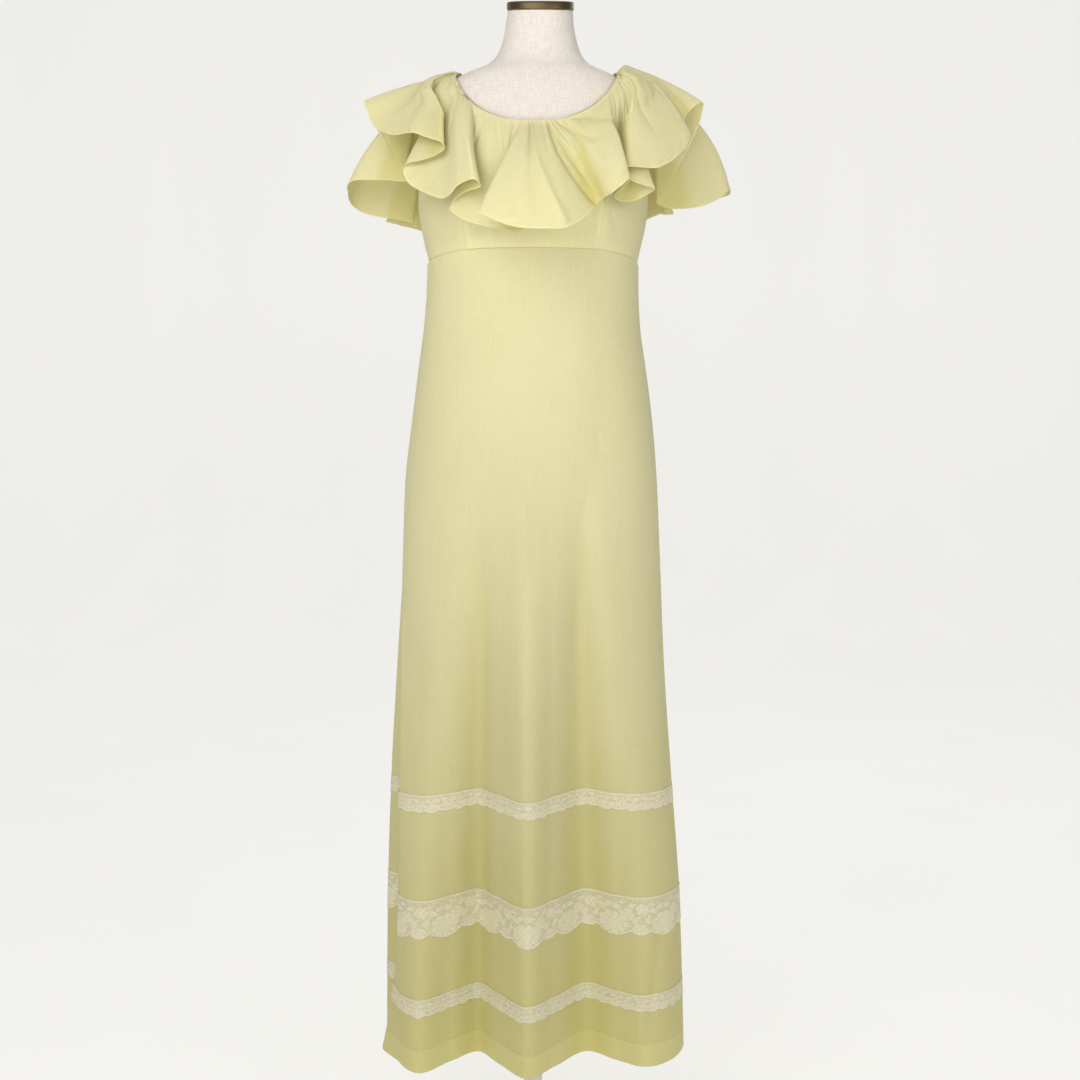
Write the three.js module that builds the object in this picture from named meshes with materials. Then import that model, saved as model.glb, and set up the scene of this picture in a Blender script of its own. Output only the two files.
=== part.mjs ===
// Maxi dress on a limbless dress form. Millimetres, +Z up, the front faces -Y.
// X is "across" (positive to the viewer's right) and "forward" is -Y.
import * as THREE from 'three';

// ---- sizes -----------------------------------------------------------------
const WALL = 1.2;            // thickness of every cloth piece
const SEAM_GAP = 0.3;        // between pieces that meet at a seam
const LAY_GAP = 0.3;         // between a panel and what lies on it
const FORM_GAP = 2.3;        // between the form and the cloth it carries
const HEM_Z = 154;           // height of the hem's mean line above the floor
const SHOULDER_Z = 1508;     // where the neckline crosses the shoulder seam
const RUFFLE_CLEAR = 5;      // least distance the ruffle keeps from the bodice
const RUFFLE_STAND = { front: 2, left: 8, right: 18 };    // how far it first stands up from its seam
const EASE = 6;              // rows of the ruffle on each side that its smooth cone is taken over
const OPENING = 1.5;         // above 1 the ruffle's folds open late
const BASE_RADIUS = 150;
const BASE_HEIGHT = 14;
const HUB_RADIUS = 27;
const HUB_HEIGHT = 34;
const POLE_RADIUS = 13;
const CAP_HEIGHT = 11;

// ---- colours ---------------------------------------------------------------
const YELLOW = 0xded5a0;
const LACE = 0xe9e2c4;
const LINEN = 0xe8e0d5;
const BRASS = 0xb39c6e;
const PAINT = 0xe6e4de;

// ---- small helpers ---------------------------------------------------------
const rad = (degrees) => degrees * Math.PI / 180;
const mix = (a, b, t) => a + (b - a) * t;
const clamp = (v, lo, hi) => Math.min(hi, Math.max(lo, v));
const smooth = (t) => { const c = clamp(t, 0, 1); return c * c * (3 - 2 * c); };
const gentle = (t) => (t < 0.2 ? t * t / 0.4 : t - 0.1) / 0.9;      // a soft start, then straight
const steps = (from, to, count) => Array.from({ length: count + 1 }, (_, i) => mix(from, to, i / count));

// One column of a table read at any value of its key, with a monotone cubic.
function column(table, key, name) {
  const rows = [...table].sort((p, q) => p[key] - q[key]);
  const x = rows.map((r) => r[key]);
  const y = rows.map((r) => r[name]);
  const n = x.length;
  const slope = x.slice(1).map((v, i) => (y[i + 1] - y[i]) / (v - x[i]));
  const tangent = y.map((_, i) => {
    if (i === 0) return slope[0];
    if (i === n - 1) return slope[n - 2];
    const a = slope[i - 1];
    const b = slope[i];
    return a * b <= 0 ? 0 : 2 * a * b / (a + b);
  });
  return (value) => {
    const v = clamp(value, x[0], x[n - 1]);
    let i = 0;
    while (i < n - 2 && v > x[i + 1]) i += 1;
    const h = x[i + 1] - x[i];
    const t = (v - x[i]) / h;
    return (2 * t ** 3 - 3 * t ** 2 + 1) * y[i] + (t ** 3 - 2 * t ** 2 + t) * h * tangent[i]
      + (3 * t ** 2 - 2 * t ** 3) * y[i + 1] + (t ** 3 - t ** 2) * h * tangent[i + 1];
  };
}

// ---- the body under the dress: a row for each level section -----------------
// left and right are half widths, front and back are depths, centre is the lean
// of the neck and tilt is the forward slope of the section.
const BODY = [
  { z: 900, left: 142, right: 142, front: 86, back: 92, centre: 0, tilt: 0 },
  { z: 1000, left: 150, right: 150, front: 92, back: 100, centre: 0, tilt: 0 },
  { z: 1080, left: 142, right: 142, front: 92, back: 94, centre: 0, tilt: 0 },
  { z: 1170, left: 127, right: 127, front: 90, back: 84, centre: 0, tilt: 0 },
  { z: 1220, left: 132, right: 132, front: 95, back: 86, centre: 0, tilt: 0 },
  { z: 1262, left: 142, right: 142, front: 104, back: 91, centre: 0, tilt: 0 },
  { z: 1320, left: 153, right: 154, front: 118, back: 97, centre: 0, tilt: 0 },
  { z: 1360, left: 156, right: 157, front: 113, back: 100, centre: 0, tilt: 0 },
  { z: 1400, left: 159, right: 160, front: 101, back: 102, centre: 1, tilt: 0 },
  { z: 1440, left: 158, right: 159, front: 89, back: 99, centre: 2, tilt: 0 },
  { z: 1465, left: 151, right: 152, front: 80, back: 94, centre: 3, tilt: 0 },
  { z: 1487, left: 134, right: 135, front: 71, back: 85, centre: 4, tilt: 0 },
  { z: 1500, left: 116, right: 117, front: 65, back: 77, centre: 5, tilt: 0.01 },
  { z: 1508, left: 102, right: 103, front: 61, back: 71, centre: 6, tilt: 0.02 },
  { z: 1516, left: 84, right: 84, front: 56, back: 64, centre: 7, tilt: 0.05 },
  { z: 1524, left: 69, right: 69, front: 52, back: 58, centre: 8, tilt: 0.09 },
  { z: 1536, left: 58, right: 58, front: 48, back: 52, centre: 9, tilt: 0.13 },
  { z: 1556, left: 50, right: 51, front: 45, back: 48, centre: 9, tilt: 0.18 },
  { z: 1577, left: 46, right: 47, front: 44, back: 46, centre: 9, tilt: 0.22 },
  { z: 1597, left: 44, right: 45, front: 44, back: 45, centre: 10, tilt: 0.24 },
];
const body = Object.fromEntries(['left', 'right', 'front', 'back', 'centre', 'tilt']
  .map((name) => [name, column(BODY, 'z', name)]));
const BUST = { across: 68, z: 1322, spread: 44, rise: 7 };
const SQUARE = 0.9;          // below 1 the sections are fuller than an ellipse

const power = (v) => Math.sign(v) * Math.abs(v) ** SQUARE;

// A point on the body at an azimuth (0 at the front, 90 at the viewer's right).
function bodyPoint(azimuth, z, out = 0) {
  const s = power(Math.sin(rad(azimuth)));
  const c = power(Math.cos(rad(azimuth)));
  const x = (s < 0 ? body.left(z) + out : body.right(z) + out) * s;
  let y = -(c > 0 ? body.front(z) + out : body.back(z) + out) * c;
  if (c > 0) {
    const near = Math.exp(-(((Math.abs(x) - BUST.across) / BUST.spread) ** 2));
    y -= BUST.rise * near * Math.exp(-(((z - BUST.z) / BUST.spread) ** 2)) * c;
  }
  return new THREE.Vector3(body.centre(z) + x, y, z + body.tilt(z) * y);
}

// Cloth walls on the body stand level at the empire seam and lean with it higher up.
const BODY_SURFACE = { point: bodyPoint, stepA: 0.2, stepB: 0.2, lean: (z) => smooth((z - 1264) / 60) };

// ---- lines on the body: a row for each azimuth ------------------------------
const NECKLINE_FRONT = [
  { at: 0, z: 1427 }, { at: 8, z: 1429 }, { at: 17, z: 1437 }, { at: 26, z: 1450 },
  { at: 36, z: 1469 }, { at: 48, z: 1487 }, { at: 62, z: 1498 }, { at: 76, z: 1505 }, { at: 90, z: 1508 },
];
const NECKLINE_BACK = [
  { at: 90, z: 1508 }, { at: 105, z: 1507 }, { at: 122, z: 1501 }, { at: 140, z: 1494 },
  { at: 160, z: 1489 }, { at: 180, z: 1487 },
];
const EMPIRE = [
  { at: 0, z: 1264 }, { at: 36, z: 1263 }, { at: 62, z: 1257 }, { at: 90, z: 1249 }, { at: 180, z: 1246 },
];
const neckFront = column(NECKLINE_FRONT, 'at', 'z');
const neckBack = column(NECKLINE_BACK, 'at', 'z');
const empire = column(EMPIRE, 'at', 'z');
const neckZ = (azimuth) => (Math.abs(azimuth) <= 90 ? neckFront : neckBack)(Math.abs(azimuth));
const empireZ = (azimuth) => empire(Math.abs(azimuth));

// ---- thin cloth from a surface ------------------------------------------------
// A surface has point(a, b), where a runs to the viewer's right and b upward, the
// small steps its slopes are measured over, and how much its walls lean at a height.
function raised(surface, a, b, distance) {
  const { point, stepA, stepB, lean } = surface;
  const along = point(a + stepA, b).sub(point(a - stepA, b));
  const up = point(a, b + stepB).sub(point(a, b - stepB));
  const outward = along.cross(up).normalize();
  const base = point(a, b);
  outward.z *= lean(base.z);
  return base.addScaledVector(outward.normalize(), distance);
}

function solid(name, points, triangles, colour, roughness, metalness = 0) {
  const geometry = new THREE.BufferGeometry();
  geometry.setAttribute('position', new THREE.Float32BufferAttribute(points.flatMap((p) => [p.x, p.y, p.z]), 3));
  geometry.setIndex(triangles.flat());
  geometry.computeVertexNormals();
  const material = new THREE.MeshStandardMaterial({ color: colour, roughness, metalness });
  material.side = THREE.FrontSide;
  const mesh = new THREE.Mesh(geometry, material);
  mesh.name = name;
  return mesh;
}

// grid[row][column] holds the [a, b] pairs, bottom to top and left to right;
// the wall lies from "under" to "under + WALL" outside the surface.
function cloth(name, surface, grid, under, colour) {
  const rows = grid.length;
  const cols = grid[0].length;
  const points = [under + WALL, under].flatMap((out) => grid.flat().map(([a, b]) => raised(surface, a, b, out)));
  const outerAt = (i, j) => i * cols + j;
  const innerAt = (i, j) => rows * cols + i * cols + j;
  const triangles = [];
  const quad = (p, q, r, s) => triangles.push([p, q, r], [p, r, s]);
  for (let i = 0; i < rows - 1; i += 1) {
    for (let j = 0; j < cols - 1; j += 1) {
      quad(outerAt(i, j), outerAt(i, j + 1), outerAt(i + 1, j + 1), outerAt(i + 1, j));
      quad(innerAt(i, j), innerAt(i + 1, j), innerAt(i + 1, j + 1), innerAt(i, j + 1));
    }
    quad(outerAt(i + 1, 0), innerAt(i + 1, 0), innerAt(i, 0), outerAt(i, 0));
    quad(outerAt(i, cols - 1), innerAt(i, cols - 1), innerAt(i + 1, cols - 1), outerAt(i + 1, cols - 1));
  }
  for (let j = 0; j < cols - 1; j += 1) {
    quad(outerAt(0, j), innerAt(0, j), innerAt(0, j + 1), outerAt(0, j + 1));
    quad(outerAt(rows - 1, j + 1), innerAt(rows - 1, j + 1), innerAt(rows - 1, j), outerAt(rows - 1, j));
  }
  return solid(name, points, triangles, colour, 0.85);
}
const gridOf = (columns, levels) => levels.map((b) => columns.map((a) => [a, b]));

// Closed rings, bottom to top, capped at both ends.
function rings(name, sections, colour, roughness, metalness) {
  const cols = sections[0].length;
  const points = sections.flat();
  const triangles = [];
  for (let i = 0; i < sections.length - 1; i += 1) {
    for (let j = 0; j < cols; j += 1) {
      const k = (j + 1) % cols;
      const a = i * cols;
      triangles.push([a + j, a + k, a + cols + k], [a + j, a + cols + k, a + cols + j]);
    }
  }
  const top = (sections.length - 1) * cols;
  const low = points.length;
  for (const section of [sections[0], sections[sections.length - 1]]) {
    points.push(section.reduce((sum, p) => sum.add(p), new THREE.Vector3()).divideScalar(cols));
  }
  for (let j = 0; j < cols; j += 1) {
    const k = (j + 1) % cols;
    triangles.push([low, k, j], [low + 1, top + j, top + k]);
  }
  return solid(name, points, triangles, colour, roughness, metalness);
}

// ---- bodice: each panel lies between a left and a right edge ------------------
// Rows climb from the empire seam; "at" is the azimuth and z the height of the
// edge away from the centre: side seam, then armhole, then the end of the shoulder.
const PRINCESS = 35;
const SIDE_FRONT_OUTER = [
  { level: 0, at: 90, z: 1249 }, { level: 0.2, at: 90, z: 1282 }, { level: 0.38, at: 89, z: 1316 },
  { level: 0.46, at: 81, z: 1338 }, { level: 0.55, at: 71, z: 1366 }, { level: 0.66, at: 65, z: 1402 },
  { level: 0.78, at: 63, z: 1440 }, { level: 0.9, at: 70, z: 1470 }, { level: 1, at: 90, z: 1488 },
];
const BACK_OUTER = [
  { level: 0, at: 90, z: 1249 }, { level: 0.2, at: 90, z: 1282 }, { level: 0.38, at: 91, z: 1316 },
  { level: 0.46, at: 99, z: 1338 }, { level: 0.55, at: 108, z: 1366 }, { level: 0.66, at: 113, z: 1402 },
  { level: 0.78, at: 115, z: 1440 }, { level: 0.9, at: 109, z: 1470 }, { level: 1, at: 90, z: 1488 },
];
const UNDERARM = 0.38;       // level at which the side seam ends
const LEVELS = [0, 0.1, 0.2, 0.3, 0.38, 0.46, 0.55, 0.66, 0.73, 0.8, 0.86, 0.91, 0.94, 0.97, 1];
const CORNER = 0.66;         // level at which the princess seams meet the neckline
const SEAM_ANGLE = 0.07;     // half of a seam gap, in degrees of azimuth
const SHOULDER_ANGLE = 0.3;  // added to it at the end of the shoulder seam

// The centre edge of a side panel: princess seam up to the neckline, then along
// the neckline to the shoulder. For the back it follows the centre-back seam.
function centreEdge(level, seamAt, neckFrom, corner) {
  if (level <= corner) {
    const t = level / corner;
    const at = mix(seamAt, neckFrom, t);
    return { at, z: mix(empireZ(seamAt), neckZ(neckFrom), t) };
  }
  const at = mix(neckFrom, 90, smooth((level - corner) / (1 - corner)) * 0.5 + (level - corner) / (1 - corner) * 0.5);
  return { at, z: neckZ(at) };
}

function sidePanel(name, side, outerTable, seamAt, neckFrom, corner, cols) {
  const outerAt = column(outerTable, 'level', 'at');
  const outerZ = column(outerTable, 'level', 'z');
  const levels = [...new Set([...LEVELS, corner])].sort((p, q) => p - q);
  const shoulderGap = (level) => SEAM_ANGLE + SHOULDER_ANGLE * smooth((level - 0.9) / 0.1);
  const [low, high] = seamAt > 90
    ? [(level) => 90 + shoulderGap(level), () => 180 - SEAM_ANGLE]
    : [() => seamAt + SEAM_ANGLE, (level) => 90 - shoulderGap(level)];
  const grid = levels.map((level) => {
    const centre = centreEdge(level, seamAt, neckFrom, corner);
    const row = steps(0, 1, cols).map((u) => {
      const at = clamp(mix(centre.at, outerAt(level), u), low(level), high(level));
      const bend = empireZ(at) - mix(empireZ(seamAt), empireZ(90), u);
      return [side * at, mix(centre.z, outerZ(level), u) + bend * (1 - smooth(level / UNDERARM))];
    });
    return (side > 0) === (seamAt < 90) ? row : row.reverse();
  });
  return cloth(name, BODY_SURFACE, grid, FORM_GAP, YELLOW);
}

function centrePanel(name) {
  const azimuths = steps(-PRINCESS + SEAM_ANGLE, PRINCESS - SEAM_ANGLE, 14);
  const climbs = LEVELS.filter((level) => level <= CORNER).map((level) => level / CORNER);
  const grid = climbs.map((t) => azimuths.map((at) => [at, mix(empireZ(at), neckZ(at), t)]));
  return cloth(name, BODY_SURFACE, grid, FORM_GAP, YELLOW);
}

const group = new THREE.Group();
group.name = 'maxi_dress_on_form';

group.add(
  centrePanel('bodice_front_centre'),
  sidePanel('bodice_front_left', -1, SIDE_FRONT_OUTER, PRINCESS, PRINCESS, CORNER, 8),
  sidePanel('bodice_front_right', 1, SIDE_FRONT_OUTER, PRINCESS, PRINCESS, CORNER, 8),
  sidePanel('bodice_back_left', -1, BACK_OUTER, 180, 180, CORNER, 12),
  sidePanel('bodice_back_right', 1, BACK_OUTER, 180, 180, CORNER, 12),
);

// ---- the form ------------------------------------------------------------------
const AROUND = steps(0, 360, 40).slice(0, -1);
const formLevels = [900, 950, 1000, 1045, 1090, 1130, 1170, 1215, 1262, 1292, 1322, 1352, 1382, 1410, 1436, 1458, 1476,
  1490, 1500, 1508, 1516, 1524, 1536, 1556, 1577, 1596.7];
group.add(
  rings('form_torso', formLevels.map((z) => AROUND.map((at) => bodyPoint(at, z))), LINEN, 0.9),
  rings('form_neck_cap', [[1597, 0.6], [1598.4, 1.6], [1597 + CAP_HEIGHT - 2, 1.6], [1597 + CAP_HEIGHT, -1]]
    .map(([z, out]) => AROUND.map((at) => {
      const p = bodyPoint(at, 1597, out);
      p.z += z - 1597;
      return p;
    })), BRASS, 0.35, 0.9),
  rings('form_pole', [BASE_HEIGHT + HUB_HEIGHT + SEAM_GAP, 900 - SEAM_GAP]
    .map((z) => steps(0, 360, 24).slice(0, -1).map((at) => new THREE.Vector3(
      POLE_RADIUS * Math.sin(rad(at)), -POLE_RADIUS * Math.cos(rad(at)), z))), PAINT, 0.6, 0),
  rings('form_base', [[BASE_RADIUS - 2, 0], [BASE_RADIUS, 2], [BASE_RADIUS, BASE_HEIGHT - 3],
    [BASE_RADIUS - 3, BASE_HEIGHT], [HUB_RADIUS, BASE_HEIGHT + 0.5], [HUB_RADIUS, BASE_HEIGHT + HUB_HEIGHT - 2],
    [HUB_RADIUS - 2, BASE_HEIGHT + HUB_HEIGHT]]
    .map(([r, z]) => steps(0, 360, 30).slice(0, -1).map((at) => new THREE.Vector3(
      r * Math.sin(rad(at)), -r * Math.cos(rad(at)), z))), PAINT, 0.6, 0),
);

// ---- skirt: level sections before folding, then a row for each fold of the hem ---
const SKIRT = [
  { z: 1262, left: 145, right: 145, front: 107, back: 94 },
  { z: 1225, left: 146, right: 145, front: 108, back: 97 },
  { z: 1163, left: 151, right: 148, front: 110, back: 102 },
  { z: 1121, left: 157, right: 154, front: 111, back: 106 },
  { z: 1038, left: 168, right: 165, front: 112, back: 114 },
  { z: 955, left: 178, right: 172, front: 112, back: 117 },
  { z: 872, left: 183, right: 176, front: 110, back: 116 },
  { z: 707, left: 192, right: 183, front: 106, back: 112 },
  { z: 541, left: 200, right: 193, front: 102, back: 107 },
  { z: 372, left: 205, right: 204, front: 98, back: 103 },
  { z: 154, left: 208, right: 210, front: 96, back: 100 },
];
// across and forward place the hem in plan, rise lifts it, start is the height the
// fold fades out at, and haste is how quickly it reaches its full depth below that.
const FOLDS = [
  { at: -180, across: 6, forward: -64, rise: 3, start: 1040, haste: 2.6 },
  { at: -166, across: -44, forward: -92, rise: 0, start: 1030, haste: 2.6 },
  { at: -154, across: -92, forward: -138, rise: -4, start: 1040, haste: 2.6 },
  { at: -141, across: -136, forward: -98, rise: 0, start: 960, haste: 2.2 },
  { at: -130, across: -158, forward: -62, rise: 3, start: 900, haste: 2 },
  { at: -116, across: -198, forward: -72, rise: 2, start: 960, haste: 2.4 },
  { at: -103, across: -213, forward: -34, rise: 5, start: 1000, haste: 2.4 },
  { at: -92, across: -184, forward: 6, rise: 6, start: 1000, haste: 2.4 },
  { at: -80, across: -188, forward: 58, rise: 4, start: 960, haste: 2.2 },
  { at: -66, across: -180, forward: 97, rise: 0, start: 800, haste: 1.5 },
  { at: -52, across: -152, forward: 116, rise: -3, start: 760, haste: 1.4 },
  { at: -37, across: -112, forward: 82, rise: 0, start: 900, haste: 2 },
  { at: -23, across: -76, forward: 58, rise: 3, start: 1030, haste: 2.8 },
  { at: -12, across: -46, forward: 93, rise: 0, start: 1040, haste: 3 },
  { at: -3, across: -9, forward: 132, rise: -4, start: 1040, haste: 3 },
  { at: 9, across: 30, forward: 101, rise: 0, start: 1040, haste: 3 },
  { at: 22, across: 74, forward: 57, rise: 3, start: 1030, haste: 2.8 },
  { at: 35, across: 116, forward: 80, rise: 0, start: 820, haste: 1.8 },
  { at: 50, across: 155, forward: 103, rise: 0, start: 760, haste: 1.4 },
  { at: 66, across: 192, forward: 82, rise: 2, start: 760, haste: 1.4 },
  { at: 82, across: 212, forward: 40, rise: 5, start: 760, haste: 1.4 },
  { at: 95, across: 203, forward: -6, rise: 4, start: 900, haste: 1.8 },
  { at: 109, across: 208, forward: -52, rise: -2, start: 960, haste: 2.2 },
  { at: 124, across: 176, forward: -74, rise: 0, start: 930, haste: 2.2 },
  { at: 138, across: 138, forward: -78, rise: 2, start: 960, haste: 2.2 },
  { at: 152, across: 98, forward: -136, rise: -4, start: 1040, haste: 2.6 },
  { at: 166, across: 48, forward: -100, rise: 0, start: 1030, haste: 2.6 },
  { at: 180, across: 6, forward: -64, rise: 3, start: 1040, haste: 2.6 },
];
// Near the hem the front's left corner stands out over the fold behind it.
const HEM_CORNER = { at: -86, reach: 18, start: 390, out: 27 };
const skirt = Object.fromEntries(['left', 'right', 'front', 'back'].map((name) => [name, column(SKIRT, 'z', name)]));

// Reads a closed table smoothly, so that the last row runs on into the first.
function loopColumn(table, key, name) {
  const rows = table.slice(0, -1);
  const n = rows.length;
  const turn = table[n][key] - table[0][key];
  const xAt = (i) => rows[((i % n) + n) % n][key] + Math.floor(i / n) * turn;
  const yAt = (i) => rows[((i % n) + n) % n][name];
  const tangent = (i) => (yAt(i + 1) - yAt(i - 1)) / (xAt(i + 1) - xAt(i - 1));
  return (value) => {
    const v = table[0][key] + ((((value - table[0][key]) % turn) + turn) % turn);
    let i = 0;
    while (i < n - 1 && v >= xAt(i + 1)) i += 1;
    const h = xAt(i + 1) - xAt(i);
    const t = (v - xAt(i)) / h;
    return (2 * t ** 3 - 3 * t ** 2 + 1) * yAt(i) + (t ** 3 - 2 * t ** 2 + t) * h * tangent(i)
      + (3 * t ** 2 - 2 * t ** 3) * yAt(i + 1) + (t ** 3 - t ** 2) * h * tangent(i + 1);
  };
}
const fold = Object.fromEntries(['across', 'forward', 'rise', 'start', 'haste']
  .map((name) => [name, loopColumn(FOLDS, 'at', name)]));

function skirtSection(azimuth, z) {
  const s = power(Math.sin(rad(azimuth)));
  const c = power(Math.cos(rad(azimuth)));
  return { across: (s < 0 ? skirt.left(z) : skirt.right(z)) * s, forward: (c > 0 ? skirt.front(z) : skirt.back(z)) * c };
}

function cornerOut(azimuth, z) {
  const off = ((azimuth - HEM_CORNER.at + 540) % 360) - 180;
  const near = Math.cos(clamp(off / HEM_CORNER.reach, -1, 1) * Math.PI / 2) ** 2;
  return HEM_CORNER.out * near * clamp((HEM_CORNER.start - z) / (HEM_CORNER.start - HEM_Z), 0, 1) ** 2;
}

// A point of the skirt's inner side; climb is 0 at the hem and 1 at the empire seam.
function skirtPoint(azimuth, climb) {
  const topZ = empireZ(azimuth) - SEAM_GAP;
  const z = mix(HEM_Z + fold.rise(azimuth), topZ, climb);
  const plain = skirtSection(azimuth, z);
  const hem = skirtSection(azimuth, HEM_Z);
  const t = clamp((fold.start(azimuth) - z) / (fold.start(azimuth) - HEM_Z), 0, 1);
  const deep = 1 - (1 - gentle(t)) ** fold.haste(azimuth);
  const across = plain.across + deep * (fold.across(azimuth) - hem.across);
  const forward = plain.forward + deep * (fold.forward(azimuth) - hem.forward);
  return new THREE.Vector3(across - cornerOut(azimuth, z), -forward, z);
}

const SKIRT_SURFACE = { point: skirtPoint, stepA: 0.2, stepB: 0.001, lean: () => 0 };

// Lace lies on the skirt in three bands: climb of the top edge, and the depth.
const LACE_BANDS = [
  { name: 'lace_upper', top: 0.34, depth: 25 },
  { name: 'lace_middle', top: 0.2115, depth: 57 },
  { name: 'lace_lower', top: 0.09, depth: 25 },
];
const SKIRT_DROP = 1262 - HEM_Z;
const foot = (band) => band.top - band.depth / SKIRT_DROP;
const CLIMBS = [0, 0.46, 0.58, 0.7, 0.82, 0.93, 1, ...LACE_BANDS.flatMap((band) => [band.top, foot(band)])]
  .sort((p, q) => p - q);
const SIDE_SEAMS = { left: -84, right: 88 };
const PANELS = [
  { name: 'skirt_back_left', from: -180, to: SIDE_SEAMS.left, cols: 23 },
  { name: 'skirt_front', from: SIDE_SEAMS.left, to: SIDE_SEAMS.right, cols: 46 },
  { name: 'skirt_back_right', from: SIDE_SEAMS.right, to: 180, cols: 22 },
];
const panelColumns = ({ from, to, cols }) => steps(from + SEAM_ANGLE, to - SEAM_ANGLE, cols);
for (const panel of PANELS) {
  group.add(cloth(panel.name, SKIRT_SURFACE, gridOf(panelColumns(panel), CLIMBS), 0, YELLOW));
}
const [backLeft, front, backRight] = PANELS.map(panelColumns);
const backOfLace = [...backRight, ...backLeft.map((at) => at + 360)];
for (const band of LACE_BANDS) {
  const levels = [foot(band), band.top];
  group.add(
    cloth(`${band.name}_front`, SKIRT_SURFACE, gridOf(front, levels), WALL + LAY_GAP, LACE),
    cloth(`${band.name}_back`, SKIRT_SURFACE, gridOf(backOfLace, levels), WALL + LAY_GAP, LACE),
  );
}

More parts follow.
